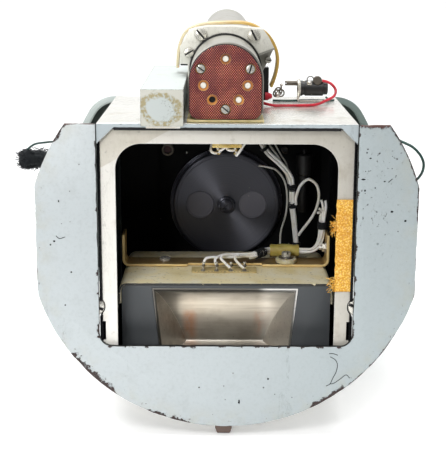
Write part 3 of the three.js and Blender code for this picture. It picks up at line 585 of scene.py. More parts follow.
def insulation(name, colour, stain):
    """Wire sleeving: soft plastic, yellowed and grimy in places."""
    g = Graph(name, colour, 0.38)
    base = g.mix(g.step(g.noise(9, 4), 0.42, 0.75) * 0.75, rgb(colour), rgb(stain))
    base = g.mix(g.step(g.noise(1.6, 4, shift=4), 0.64, 0.75) * 0.5, base, rgb("4c463c"))
    g.set("Base Color", base)
    g.set("Subsurface Weight", 0.08)
    g.set("Subsurface Radius", (0.8 * MM, 0.6 * MM, 0.4 * MM))
    g.set("Subsurface Scale", 1.0)
    g.set("Normal", g.bump(g.noise(1.2, 2), 0.04))
    return g.material


def aged_plastic(name, colour, dark, pale_to=None):
    """Yellowed translucent plastic, paler on the left of pale_to."""
    fade = 26
    g = Graph(name, colour, 0.42)
    base = g.mix(g.step(g.noise(8, 4), 0.35, 0.7), rgb(colour), rgb(dark))
    base = g.mix(g.edges(0.5) * 0.4, base, rgb("e9d9a8"))
    g.set("Base Color", base)
    if pale_to is not None:
        g.paint_over(g.step(g.axis("X"), pale_to + fade / 2, pale_to - fade) * 0.8, "efe7c9")
    g.set("Transmission Weight", 0.12)
    g.set("Subsurface Weight", 0.25)
    g.set("Subsurface Radius", (1.4 * MM, 1.0 * MM, 0.5 * MM))
    g.set("Subsurface Scale", 1.0)
    g.set("Normal", g.bump(g.noise(2.5, 3), 0.08))
    return g.material


def waxed_thread(name, colour):
    """Black lacing cord and braid: short fibres with a dull sheen."""
    g = Graph(name, colour, 0.8)
    fibre = g.noise(0.35, 4, stretch=(1, 1, 0.4))
    g.set("Base Color", g.mix(fibre * 0.3, rgb(colour), rgb("40454b")))
    g.set("Sheen Weight", 0.08)
    g.set("Specular IOR Level", 0.2)
    g.set("Normal", g.bump(fibre, 0.1))
    return g.material


def tube_glass():
    """Thick bulb glass with a grey-green face."""
    g = Graph("tube_glass", "c5d2cb", 0.05)
    g.set("Base Color", g.mix(g.noise(30, 3), rgb("cdd8d1"), rgb("a9bbb1")))
    g.set("Transmission Weight", 0.9)
    g.set("IOR", 1.5)
    g.set("Roughness", g.between(g.noise(12, 4), 0.02, 0.12))
    return g.material


def enamelled_winding():
    """Coils of enamelled copper wire lying side by side."""
    g = Graph("enamelled_winding", "a5622f", 0.35, 0.7)
    turns = g.value("Fac", "TexWave", {"Vector": g.scaled(1.0, (0, 1, 0)), "Scale": 0.5, "Distortion": 0.4},
                    bands_direction="Y")
    g.set("Base Color", g.mix(turns, rgb("5d2f17"), rgb("b9723c")))
    g.set("Normal", g.bump(turns, 0.2))
    return g.material


front_plate = box_of("front_plate")
lip = box_of("front_lip")
SLOT_BOTTOM = -59.5
SLOT_CORNER = 6.5
SLOT_CLEARANCE = 1.4
slot_half = lip.right + SLOT_CLEARANCE

wiring_duct = box_of("wiring_duct")

M = SimpleNamespace(
    plate=plate_paint(),
    lip=painted("lip_paint", "b9c3c7", "2a2622", wear=0.8, edge_radius=0.7).material,
    duct=duct_paint(wiring_duct),
    drum=drum_paint(),
    drum_inside=painted("drum_inside_paint", "39443f", "77786f", wear=0.6, dirt="1c2220").material,
    sheet=inside_black(aluminium("chassis_sheet", "ebe9e2", (0.03, 1, 1), 0.3, relief=0.008),
                       box_of("chassis_box").front),
    frame=frame_sheet(),
    cast=clamp_metal(),
    barrel=aluminium("barrel_metal", "b7b5ac", grain=(0.3, 1, 0.3), roughness=0.4, grime_and_shade=0.6).material,
    black=black_coat("chamber_black", colour="060709").material,
    block=black_coat("block_black", "45494d", roughness=0.45, dust=1.5, spread=9, shine=0.5).material,
    disc=turned_metal("turned_disc_metal", "696a73", roughness=0.33).material,
    hub=turned_metal("turned_hub_metal", "54555f", roughness=0.25, pitch=1.0, rim=0.7).material,
    insert=black_coat("insert_face", "686876", roughness=0.5, dust=4.0, spread=3, shine=0.5).material,
    steel=aluminium("screw_steel", "dddad0", EVEN, 0.3, stain=0.7, metallic=0.55, grime_and_shade=1.0).material,
    pin=aluminium("contact_metal", "fbf6e8", EVEN, 0.4, stain=0.15, metallic=0.15).material,
    dark_steel=aluminium("dark_steel", "6b655d", EVEN, 0.5, stain=0.8, metallic=0.8).material,
    lug=aluminium("worn_lug", "6f5d55", EVEN, 0.6, stain=1.0, metallic=0.3, grime_and_shade=0.6).material,
    gold=edge_lit(passivated("gold_passivated", "c9a560", "dfc38a", "a39a70", metallic=0.35),
                  edge="f6d999", flat="6d5331"),
    beige=passivated("beige_passivated", "dccfa6", "e6dcbb", "cdbd8b", metallic=0.25, worn="f3eeda").material,
    lid=black_edged(passivated("lid_passivated", "fdeebf", "fff5d6", "f1dfa8", worn="fffdf0")),
    reflector=polished_reflector(box_of("reflector").front),
    laminate=woven_laminate(),
    fibre=passivated("cut_fibre", "b9742f", "dc9a4c", "7a4423", roughness=0.7).material,
    strip=passivated("aged_laminate", "cdb679", "dcc791", "b0975c", roughness=0.6).material,
    tape=fibre_tape(),
    white=insulation("white_sleeving", "fbfaf7", "e6dfcb"),
    grey_wire=insulation("grey_sleeving", "cfcec8", "a39f93"),
    red=insulation("red_sleeving", "c4172f", "8e1224"),
    dark_red=insulation("dark_red_seal", "5a1820", "2a0c10"),
    green=insulation("green_sleeving", "24463f", "16302c"),
    band=aged_plastic("yellowed_band", "d9b45c", "c29a48", pale_to=6.0),
    base_sheet=aged_plastic("yellowed_sheet", "d7c896", "b9a66c"),
    nylon=aged_plastic("yellowed_nylon", "dcca72", "c3ab52"),
    tab=aged_plastic("pale_nylon", "e4dcc0", "c9bd94"),
    lacing=waxed_thread("black_lacing", "0f0f11"),
    braid=waxed_thread("black_braid", "070a0c"),
    glass=tube_glass(),
    winding=enamelled_winding(),
    solder=aluminium("solder", "dedbd3", EVEN, 0.25, metallic=0.7, grime_and_shade=0.8).material,
    brass=passivated("brass_terminal", "d6b45c", "efd791", "8a6c30", metallic=0.7, roughness=0.25).material,
    # Black moulding, also used for black pieces that stand in for shade in slots and gaps.
    bakelite_and_shade=black_coat("black_moulding_and_shade", "161618", roughness=0.35, dust=0.6, spread=4, shine=0.5).material,
)


# ---------------------------------------------------------------- building pieces

def place(obj, material, body, replaces=()):
    """Gives a new object its material, its body and the CAD nodes it stands for."""
    obj.data.materials.append(material)
    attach(obj, body)
    if replaces:
        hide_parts(*replaces)
    return obj


def object_from(bm, name, sharp=35):
    """A Blender object from a bmesh in millimetres, smooth except across sharp edges."""
    bmesh.ops.recalc_face_normals(bm, faces=bm.faces)
    bmesh.ops.translate(bm, vec=TO_FRAME, verts=bm.verts)
    bmesh.ops.scale(bm, vec=(MM, MM, MM), verts=bm.verts)
    data = bpy.data.meshes.new(name)
    bm.to_mesh(data)
    bm.free()
    data.shade_smooth()
    data.set_sharp_from_angle(angle=math.radians(sharp))
    obj = bpy.data.objects.new(name, data)
    bpy.context.scene.collection.objects.link(obj)
    return obj


def piece(bm, name, material, node=None, body=UNIT, sharp=35):
    """A finished piece made from a bmesh, standing for a CAD node if one is named."""
    return place(object_from(bm, name, sharp), material, body, [node] if node else ())


def soften(bm, width, segments=2, angle=30):
    """Rounds the sharp edges of a bmesh."""
    limit = math.radians(angle)
    sharp = [e for e in bm.edges if len(e.link_faces) == 2 and e.calc_face_angle(0) > limit]
    bmesh.ops.bevel(bm, geom=sharp, offset=width, segments=segments, profile=0.6, affect="EDGES",
                    clamp_overlap=True)


def refine(node, material, width, segments, sharp=35):
    """A CAD node's own shape with its flat faces whole again and its edges rounded."""
    bm = bmesh.new()
    bm.from_mesh(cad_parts[node].data)
    bmesh.ops.scale(bm, vec=(1 / MM,) * 3, verts=bm.verts)
    bmesh.ops.translate(bm, vec=-TO_FRAME, verts=bm.verts)
    bmesh.ops.remove_doubles(bm, verts=bm.verts, dist=0.002)
    bmesh.ops.dissolve_limit(bm, angle_limit=math.radians(0.6), verts=bm.verts, edges=bm.edges)
    if width:
        soften(bm, width, segments)
    place(object_from(bm, node + "_shape", sharp), material, UNIT, [node])


def arc(cx, cz, radius, start, end, steps):
    """Points of a round stretch, with angles in degrees."""
    turns = [math.radians(start + (end - start) * i / steps) for i in range(steps + 1)]
    return [(cx + radius * math.cos(t), cz + radius * math.sin(t)) for t in turns]


def circle(cx, cz, radius, steps=32):
    return arc(cx, cz, radius, 0, 360 - 360 / steps, steps - 1)


def prism(bm, outline, front, back, holes=()):
    """A plate drawn in x and z that fills the depths from front to back."""
    edges = []
    for loop in (outline, *holes):
        verts = [bm.verts.new((x, front, z)) for x, z in loop]
        edges += [bm.edges.new((a, b)) for a, b in zip(verts, verts[1:] + verts[:1])]
    faces = bmesh.ops.triangle_fill(bm, use_beauty=True, use_dissolve=False, edges=edges)["geom"]
    faces = [f for f in faces if isinstance(f, bmesh.types.BMFace)]
    bmesh.ops.dissolve_limit(bm, angle_limit=0.01, verts=list({v for f in faces for v in f.verts}),
                             edges=list({e for f in faces for e in f.edges}))
    faces = [f for f in bm.faces if all(abs(v.co.y - front) < 1e-6 for v in f.verts)]
    moved = bmesh.ops.extrude_face_region(bm, geom=faces, use_keep_orig=True)["geom"]
    verts = [v for v in moved if isinstance(v, bmesh.types.BMVert)]
    bmesh.ops.translate(bm, vec=(0, back - front, 0), verts=verts)
    return bm


def rectangle(left, right, low, high):
    return [(left, low), (right, low), (right, high), (left, high)]


def skin(bm, loops, capped=False, closed=False):
    """Joins equal loops of vertices with faces."""
    pairs = list(zip(loops, loops[1:])) + ([(loops[-1], loops[0])] if closed else [])
    for first, second in pairs:
        for a, b, c, d in zip(first, first[1:] + first[:1], second[1:] + second[:1], second):
            bm.faces.new((a, b, c, d))
    if capped:
        bm.faces.new(loops[0])
        bm.faces.new(loops[-1])


def lathe(bm, profile, centre=(0, 0, 0), axis="y", steps=48):
    """Turns a profile of (radius, distance) about an axis through centre. The profile starts and ends on
    the axis, or closes on itself."""
    swap = {"x": Matrix(((0, 1, 0), (1, 0, 0), (0, 0, 1))),
            "y": Matrix.Identity(3),
            "z": Matrix(((1, 0, 0), (0, 0, 1), (0, 1, 0)))}[axis]
    loops = []
    for radius, distance in profile:
        if radius < 1e-6:
            loops.append([bm.verts.new(Vector(centre) + swap @ Vector((0, distance, 0)))])
            continue
        ring = []
        for i in range(steps):
            angle = TAU * i / steps
            spot = Vector((radius * math.cos(angle), distance, radius * math.sin(angle)))
            ring.append(bm.verts.new(Vector(centre) + swap @ spot))
        loops.append(ring)
    pairs = list(zip(loops, loops[1:]))
    if len(loops[0]) > 1:
        pairs.append((loops[-1], loops[0]))
    for first, second in pairs:
        for i in range(steps):
            j = (i + 1) % steps
            corners = [(first, i), (first, j), (second, j), (second, i)]
            unique = list(dict.fromkeys(ring[k % len(ring)] for ring, k in corners))
            if len(unique) > 2:
                bm.faces.new(unique)
    return bm


def block(bm, x, y, z):
    """A box between pairs of limits."""
    made = bmesh.ops.create_cube(bm, size=1)["verts"]
    size = (x[1] - x[0], y[1] - y[0], z[1] - z[0])
    bmesh.ops.scale(bm, vec=size, verts=made)
    bmesh.ops.translate(bm, vec=((x[0] + x[1]) / 2, (y[0] + y[1]) / 2, (z[0] + z[1]) / 2), verts=made)
    return made


def turned_block(x, y, z, angle, axis, centre):
    """A new box between limits round the origin, turned there about an axis and then moved to a centre."""
    bm = bmesh.new()
    block(bm, x, y, z)
    turn(bm, angle, axis)
    bmesh.ops.translate(bm, vec=centre, verts=bm.verts)
    return bm


def turn(bm, angle, axis):
    rotation = Matrix.Rotation(math.radians(angle), 3, axis)
    bmesh.ops.rotate(bm, cent=(0, 0, 0), matrix=rotation, verts=bm.verts)


def smooth_path(points, count):
    """Evenly spread points on a smooth curve through the given ones."""
    points = [Vector(p) for p in points]
    ends = [2 * points[0] - points[1]] + list(points) + [2 * points[-1] - points[-2]]
    spots = []
    for i in range(count):
        t = i / (count - 1) * (len(points) - 1)
        k = min(int(t), len(points) - 2)
        u = t - k
        p0, p1, p2, p3 = ends[k:k + 4]
        spots.append(0.5 * (2 * p1 + (p2 - p0) * u + (2 * p0 - 5 * p1 + 4 * p2 - p3) * u * u
                            + (3 * p1 - p0 - 3 * p2 + p3) * u ** 3))
    return spots


def spline_curve(name, runs, radius, material, body=UNIT, slot=None, replaces=(), sides=3, tapers=None):
    """Round wires, one for each run of points, as one curve object. A taper thins each end."""
    data = bpy.data.curves.new(name, "CURVE")
    data.dimensions = "3D"
    data.bevel_depth = radius * MM
    data.bevel_resolution = sides
    data.use_fill_caps = True
    for index, run in enumerate(runs):
        spline = data.splines.new("POLY")
        spline.points.add(len(run) - 1)
        for k, (spot, target) in enumerate(zip(run, spline.points)):
            target.co = (*((Vector(spot) + TO_FRAME) * MM), 1)
            if tapers:
                target.radius = tapers[index] * (1 - 0.75 * k / (len(run) - 1))
        spline.use_smooth = True
    obj = bpy.data.objects.new(name, data)
    bpy.context.scene.collection.objects.link(obj)
    return place(obj, material, body, replaces)


def wire(name, points, radius, material, count=60, **rest):
    return spline_curve(name, [smooth_path(points, count)], radius, material, **rest)


def side_vectors(path):
    """Two directions square to a path at each of its points, without sudden turns."""
    frames = []
    side = None
    for i, spot in enumerate(path):
        along = (path[min(i + 1, len(path) - 1)] - path[max(i - 1, 0)]).normalized()
        if side is None:
            side = along.orthogonal().normalized()
        side = (side - along * side.dot(along)).normalized()
        frames.append((side, along.cross(side)))
    return frames


def bundle_runs(points, places, turns, count, wobble=0.25, seed=0):
    """Wires laid side by side along a path, at (radius, angle) places round it, twisting as they go."""
    path = smooth_path(points, count)
    frames = side_vectors(path)
    runs = []
    for k, (reach, start) in enumerate(places):
        run = []
        for i, (spot, (u, v)) in enumerate(zip(path, frames)):
            t = i / (count - 1)
            angle = math.radians(start) + turns * TAU * t
            loose = wobble * noise.noise(Vector((t * 6, k * 3.7 + seed, 0)))
            run.append(spot + (u * math.cos(angle) + v * math.sin(angle)) * (reach + loose))
        runs.append(run)
    return runs


def lacing_run(points, at, turns, radius):
    """A cord wound round a path at a place along it, from 0 to 1."""
    pitch = 0.75
    path = smooth_path(points, 200)
    frames = side_vectors(path)
    length = sum((b - a).length for a, b in zip(path, path[1:]))
    steps = int(turns * 20)
    run = []
    for i in range(steps + 1):
        t = at + (i / steps - 0.5) * turns * pitch / length
        index = max(0, min(len(path) - 1, round(t * (len(path) - 1))))
        u, v = frames[index]
        angle = TAU * turns * i / steps
        run.append(path[index] + (u * math.cos(angle) + v * math.sin(angle)) * radius)
    return run


def mesh_of(bm, name):
    data = bpy.data.meshes.new(name)
    bm.to_mesh(data)
    bm.free()
    obj = bpy.data.objects.new(name, data)
    bpy.context.scene.collection.objects.link(obj)
    return obj


def carve(bm, cutters):
    """Cuts closed shapes out of a closed shape, all in millimetres."""
    bmesh.ops.recalc_face_normals(bm, faces=bm.faces)
    body = mesh_of(bm, "carved")
    tools = []
    for cutter in cutters:
        bmesh.ops.recalc_face_normals(cutter, faces=cutter.faces)
        tool = mesh_of(cutter, "cutter")
        tools.append(tool)
        made = body.modifiers.new("cut", "BOOLEAN")
        made.operation = "DIFFERENCE"
        made.solver = "EXACT"
        made.object = tool
    bpy.context.view_layer.update()
    result = bmesh.new()
    result.from_mesh(body.evaluated_get(bpy.context.evaluated_depsgraph_get()).to_mesh())
    for obj in (body, *tools):
        bpy.data.objects.remove(obj)
    return result


def screw_piece(name, x, y, z, radius, height, slot_angle, material, replaces=()):
    """A slotted cheese-head screw seen from the front, with its underside at y and a black block in its slot
    as painted shade.
    """
    top = y - height
    slot_half = radius * 0.16
    slot_depth = height * 0.45
    domed = 0.35
    rings = [(0, y), (radius, y), (radius, y - height * 0.55), (radius * 0.9, top + height * 0.1),
             (radius * 0.6, top - height * domed * 0.12), (0, top - height * domed * 0.2)]
    slot = (-slot_half, slot_half)
    cutter = turned_block((-radius * 1.2, radius * 1.2), (top - height, top + slot_depth), slot, slot_angle,
                          "Y", (x, 0, z))
    head = carve(lathe(bmesh.new(), rings, (x, 0, z), "y", 40), [cutter])
    soften(head, radius * 0.035, 1, 40)
    # Painted shade: a black block at the bottom of the slot.
    deep = y - height * 0.55
    floor = turned_block((-radius * 0.93, radius * 0.93), (deep - 0.1, deep + 0.05), slot, slot_angle,
                         "Y", (x, 0, z))
    piece(floor, f"{name}_slot", M.bakelite_and_shade)
    place(object_from(head, name, 30), material, UNIT, replaces)


# ---------------------------------------------------------------- front plate

# The length of the steps along the plate's edge.
EDGE_STEP = 1.1


def plate_outline():
    """The plate's outline anticlockwise, in short steps so that its edge can be ragged."""
    radius, half, top = -front_plate.bottom, front_plate.right, front_plate.top
    top_angle = math.degrees(math.asin(top / radius))
    flat_angle = math.degrees(math.acos(half / radius))
    cx, cz = slot_half - SLOT_CORNER, SLOT_BOTTOM + SLOT_CORNER
    corners = [(-slot_half, top)]
    corners += arc(0, 0, radius, 180 - top_angle, 180 - flat_angle, 20)
    corners += arc(0, 0, radius, 180 + flat_angle, 360 - flat_angle, 180)
    corners += arc(0, 0, radius, flat_angle, top_angle, 20)
    corners += [(slot_half, top)]
    corners += arc(cx, cz, SLOT_CORNER, 0, -90, 6)
    corners += arc(-cx, cz, SLOT_CORNER, 270, 180, 6)
    points = []
    for (x0, z0), (x1, z1) in zip(corners, corners[1:] + corners[:1]):
        steps = max(1, round(math.hypot(x1 - x0, z1 - z0) / EDGE_STEP))
        points += [(x0 + (x1 - x0) * i / steps, z0 + (z1 - z0) * i / steps) for i in range(steps)]
    return [Vector(p) for p in points]


def inward_normals(points):
    found = []
    for i, spot in enumerate(points):
        along = (points[(i + 1) % len(points)] - points[i - 1]).normalized()
        found.append(Vector((along.y, -along.x)))
    area = sum(a.x * b.y - b.x * a.y for a, b in zip(points, points[1:] + points[:1]))
    return [n * (-1 if area > 0 else 1) for n in found]


def ragged_depth(spot):
    """How far a chip bites into the edge at a place on the outline."""
    field = noise.noise(Vector((spot.x, spot.y, 3.0)) / 7)
    nick = noise.noise(Vector((spot.x, spot.y, 9.0)) / 1.7)
    return max(0.0, field - 0.05) * 0.5 + max(0.0, nick - 0.3) * 0.5


def build_front_plate():
    points = plate_outline()
    normals = inward_normals(points)
    bite = [ragged_depth(p) for p in points]
    bm = bmesh.new()
    edge = 0.45
    stations = [(front_plate.back, 0.25), (front_plate.back - 0.25, 0.0), (front_plate.front + edge, 0.0),
                (front_plate.front + 0.12, 0.14), (front_plate.front, edge)]
    loops = []
    for depth, inset in stations:
        ring = [p + n * (inset + b) for p, n, b in zip(points, normals, bite)]
        loops.append([bm.verts.new((p.x, depth, p.y)) for p in ring])
    skin(bm, loops, capped=True)
    piece(bm, "front_plate_painted", M.plate, "front_plate", sharp=50)


def build_plate_marks():
    """Scratches and scrawls through the paint, and a few deep chips."""
    face = front_plate.front - 0.01
    strokes = [[(57, -63.6), (59, -63.5), (61.9, -64.4)],
               [(57.6, -65.4), (60.4, -67), (61.8, -70), (61.2, -74.2), (59.4, -78), (58, -81.3),
                (55.8, -82.6)], [(58, -81.3), (60, -81), (63.6, -78.4), (66.7, -76), (68.8, -77.9)],
               [(-92, 3), (-90, 1.5), (-87, 2.4)], [(86, 33), (88, 35)]]
    runs = []
    for stroke in strokes:
        runs.append([Vector((p.x, face, p.y)) for p in smooth_path(stroke, 24)])
    spline_curve("plate_scratches", runs, 0.19, M.braid, slot="bright_steel", sides=1)
    bm = bmesh.new()
    chips = [(7.4, -92.2, 0.55, 1.3), (23.4, -78.5, 0.6, 0.6), (-93, 0, 0.7, 0.5), (-95, -2, 0.5, 0.5),
             (-90, 22, 0.4, 0.6), (96, 12, 0.7, 0.7), (84, 33.5, 0.5, 0.4), (79, 30, 0.4, 0.4),
             (72.6, 34.6, 1.1, 0.5), (73.6, 28.5, 0.5, 0.6), (76, 46, 0.6, 0.4), (74, 49, 0.4, 0.5),
             (88.5, 17, 0.8, 0.6), (-88, -36, 0.5, 0.4)]
    corners = 11
    for k, (x, z, wide, high) in enumerate(chips):
        rim = []
        for i in range(corners):
            angle = TAU * i / corners
            reach = 1 + 0.5 * noise.noise(Vector((k * 3.1, i * 0.9, 0)))
            across, up = wide * reach * math.cos(angle), high * reach * math.sin(angle)
            rim.append(bm.verts.new((x + across, face, z + up)))
        bm.faces.new(rim)
    piece(bm, "plate_chips", M.braid)


def build_lug():
    """The locating lug: a tongue with worn shoulders."""
    lug = box_of("locating_lug")
    chamfer = 1.1
    outline = [(lug.left, lug.top), (lug.left, lug.bottom + 3), (lug.left + chamfer, lug.bottom),
               (lug.right - chamfer, lug.bottom), (lug.right, lug.bottom + 3), (lug.right, lug.top)]
    bm = prism(bmesh.new(), outline, lug.front, lug.back)
    soften(bm, 0.8, 3)
    piece(bm, "locating_lug_worn", M.lug, "locating_lug")


# ---------------------------------------------------------------- chassis

SCREW_X = 72.4
SCREW_Z = -38.0
SCREW_RADIUS = 5.4


def build_chassis():
    refine("chassis_box", M.sheet, 0.5, 2)
    build_lip()
    build_inner_frame()
    build_duct()
    refine("joining_frame", M.black, 0.4, 2)
    refine("chamber_rear_wall", M.black, 0.3, 1)
    refine("disc_panel", M.black, 0.4, 2)
    for side, sign in (("left", -1), ("right", 1)):
        screw = box_of(f"frame_screw_{side}")
        screw_piece(f"frame_screw_{side}_head", sign * SCREW_X, screw.back, SCREW_Z, SCREW_RADIUS, 2.4, 20,
                    M.steel, [f"frame_screw_{side}"])


def build_duct():
    """The box duct on the chassis top. Its folded front stands just above the lip, on a bare tongue."""
    duct = wiring_duct
    top, foot, seat, wall = duct.top + 0.6, 62.5, lip.top + 0.3, 1.6
    bm = bmesh.new()
    loops = []
    for depth, inset in ((duct.front + 0.9, 0), (duct.back, 0), (duct.back, wall), (duct.front + 2.5, wall)):
        corners = rectangle(duct.left + inset, duct.right - inset, seat + inset, top - inset)
        loops.append([bm.verts.new((x, depth, z)) for x, z in corners])
    skin(bm, loops, capped=True)
    soften(bm, 0.5, 3)
    front = prism(bmesh.new(), rectangle(duct.left, duct.right, foot, top), duct.front, duct.front + 0.9)
    soften(front, 0.35, 2)
    piece(bm, "duct_tube", M.duct, "wiring_duct")
    piece(front, "duct_front", M.duct)
    tongue = prism(bmesh.new(), rectangle(duct.left + 2.8, duct.right - 1.6, foot - 1.1, foot), duct.front,
                   duct.front + 0.9)
    soften(tongue, 0.2, 1)
    piece(tongue, "duct_tongue", M.frame)


def build_lip():
    """The folded front edge of the chassis top, with a gusset at each end and a black strip under it as
    painted shadow in the gap.
    """
    # Painted shadow: a black strip in the gap under the lip.
    bm = prism(bmesh.new(), rectangle(-60.2, 60.2, 60.1, 61.8), lip.front + 0.6, lip.back)
    piece(bm, "lip_gap_painted_shadow", M.bakelite_and_shade)
    half = slot_half - 0.25
    underside, gusset_edge, gusset_foot = 61.7, 60.2, 52.9
    outline = [(-half, lip.top), (-half, gusset_foot), (-gusset_edge, underside), (gusset_edge, underside),
               (half, gusset_foot), (half, lip.top)]
    bm = prism(bmesh.new(), outline, lip.front, lip.back)
    soften(bm, 0.3, 2)
    piece(bm, "front_lip_folded", M.lip, "front_lip")


def build_inner_frame():
    """The bare frame round the window, notched at its sides and scalloped round its two screws."""
    frame_box = box_of("inner_frame")
    half = slot_half - 1.6
    notch_low, notch_high, notch_depth = -57.5, -46.5, 1.5
    scallop = SCREW_RADIUS + 0.5
    reach = SCREW_X - half
    open_angle = math.degrees(math.acos(reach / scallop))
    side = [(half, frame_box.bottom), (half, notch_low), (half - notch_depth, notch_low),
            (half - notch_depth, notch_high), (half, notch_high)]
    side += arc(SCREW_X, SCREW_Z, scallop, 180 + open_angle, 180 - open_angle, 14)
    side += [(half, frame_box.top)]
    outline = side + [(-x, z) for x, z in reversed(side)]
    left, right, low, high, round_low, round_high = -59.9, 59.6, -70.0, 52.6, 3.0, 14.0
    window = arc(right - round_low, low + round_low, round_low, 270, 360, 6)
    window += arc(right - round_high, high - round_high, round_high, 0, 90, 18)
    window += arc(left + round_high, high - round_high, round_high, 90, 180, 18)
    window += arc(left + round_low, low + round_low, round_low, 180, 270, 6)
    bm = prism(bmesh.new(), outline, frame_box.front, frame_box.back, [window])
    soften(bm, 0.4, 3)
    piece(bm, "inner_frame_pressed", M.frame, "inner_frame")


def build_tape():
    """The strip of fibre tape: a lumpy sheet with ragged ends and loose threads at its left."""
    tape = box_of("tape_strip")
    tape.left += 1.0
    tape.right += 1.3
    rng = random.Random(11)
    columns, rows = 14, 74
    bm = bmesh.new()
    grid = []
    for j in range(rows + 1):
        t = j / rows
        z = tape.bottom + (tape.top - tape.bottom) * t
        end_rag = (rng.uniform(-0.5, 0.5) if j in (0, rows) else 0)
        left = tape.left + 0.35 * noise.noise(Vector((0, z / 3, 0)))
        right = tape.right + 0.3 * noise.noise(Vector((9, z / 3, 0)))
        line = []
        for i in range(columns + 1):
            x = left + (right - left) * i / columns
            lump = 0.16 * noise.noise(Vector((x / 1.3, 0, z / 1.3)))
            lump += 0.2 * noise.noise(Vector((x / 6, 4, z / 6)))
            line.append(bm.verts.new((x, tape.front - 0.1 - lump, z + end_rag * math.sin(i * 2.1))))
        grid.append(line)
    for lower, upper in zip(grid, grid[1:]):
        for a, b, c, d in zip(lower, lower[1:], upper[1:], upper):
            bm.faces.new((a, b, c, d))
    obj = object_from(bm, "fibre_tape_strip", 180)
    thick = obj.modifiers.new("thickness", "SOLIDIFY")
    thick.thickness = 0.4 * MM
    thick.offset = 1
    place(obj, M.tape, UNIT, ["tape_strip"])
    threads = []
    low_count, count, bends = 24, 62, 7
    for k in range(count):
        low = k < low_count
        start = Vector((tape.left + rng.uniform(-0.2, 0.4), tape.front - 0.3,
                        rng.uniform(tape.bottom, tape.bottom + 9) if low else rng.uniform(5.5, 12)))
        reach = rng.uniform(1.5, 5.5 if low else 4.6)
        heading = rng.uniform(150, 235)
        run = [start]
        step = reach / bends
        for _ in range(bends):
            heading += rng.uniform(-28, 28)
            run.append(run[-1] + Vector((math.cos(math.radians(heading)) * step, -rng.uniform(0, 0.25),
                                         math.sin(math.radians(heading)) * step)))
        threads.append(run)
    spline_curve("tape_threads", threads, 0.14, M.tape, slot="orange_tape", sides=1)


# ---------------------------------------------------------------- upper tube and its end

def arch(cx, cz, radius, bottom, foot):
    """A half-round outline on straight sides with rounded feet."""
    points = arc(cx + radius - foot, bottom + foot, foot, 270, 360, 8)
    points += arc(cx, cz, radius, 0, 180, 48)
    return points + arc(cx - radius + foot, bottom + foot, foot, 180, 270, 8)


def build_terminal_plate():
    """The laminate plate: contacts in countersunk holes and screws in counterbores."""
    plate = box_of("terminal_plate")
    cx = plate.x
    radius = (plate.right - plate.left) / 2
    cz = plate.top - radius
    contacts = [box_of(f"contact_pin_{n}") for n in ("top", "left", "low_right", "right")]
    lowest = contacts[2]
    empty = SimpleNamespace(x=2 * cx - lowest.x, z=lowest.z)
    screws = [box_of(f"plate_screw_{n}") for n in ("left", "right", "low")]
    countersink, bore, pin_radius = 2.9, 2.95, 1.55
    holes = [circle(c.x, c.z, countersink) for c in (*contacts, empty)]
    holes += [circle(s.x, s.z, bore) for s in screws]
    bm = prism(bmesh.new(), arch(cx, cz, radius, plate.bottom, 5), plate.front, plate.back, holes)
    soften(bm, 0.22, 2)
    piece(bm, "terminal_plate_laminate", M.laminate, "terminal_plate")
    bm = bmesh.new()
    for c in (*contacts, empty):
        funnel = [(countersink, plate.front + 0.05), (1.75, plate.front + 0.9), (1.75, plate.back),
                  (countersink, plate.back)]
        lathe(bm, funnel, (c.x, 0, c.z), "y", 32)
    for s in screws:
        lathe(bm, [(0, plate.front + 1.1), (bore, plate.front + 1.1), (bore, plate.back), (0, plate.back)],
              (s.x, 0, s.z), "y", 32)
    piece(bm, "terminal_plate_holes", M.fibre)
    back = prism(bmesh.new(), arch(cx, cz, radius + 0.45, plate.bottom - 0.3, 5.3), plate.back + 0.02,
                 plate.back + 0.28)
    piece(back, "terminal_plate_backing", M.bakelite_and_shade)
    for name, c in zip(("top", "left", "low_right", "right"), contacts):
        bm = bmesh.new()
        front = plate.front + 0.1
        lathe(bm, [(0, front), (pin_radius - 0.25, front), (pin_radius, front + 0.25), (pin_radius, c.back),
                   (0, c.back)], (c.x, 0, c.z), "y", 28)
        piece(bm, f"contact_{name}", M.pin, f"contact_pin_{name}")
    for name, s, angle in zip(("left", "right", "low"), screws, (35, -75, 40)):
        screw_piece(f"plate_screw_{name}_head", s.x, plate.front + 1.0, s.z, 2.4, 1.2, angle, M.steel,
                    [f"plate_screw_{name}"])


def build_connector_housing():
    housing = box_of("connector_housing")
    radius = (housing.right - housing.left) / 2
    cz = housing.top - radius
    bm = bmesh.new()
    outer = arch(housing.x, cz, radius, housing.bottom, 5)
    inner = arch(housing.x, cz, radius - 1.6, housing.bottom + 1.6, 4)
    prism(bm, outer, housing.front, housing.back, [inner])
    soften(bm, 0.35, 2)
    piece(bm, "connector_housing_shell", M.barrel, "connector_housing")
    refine("connector_base", M.base_sheet, 0.3, 2)


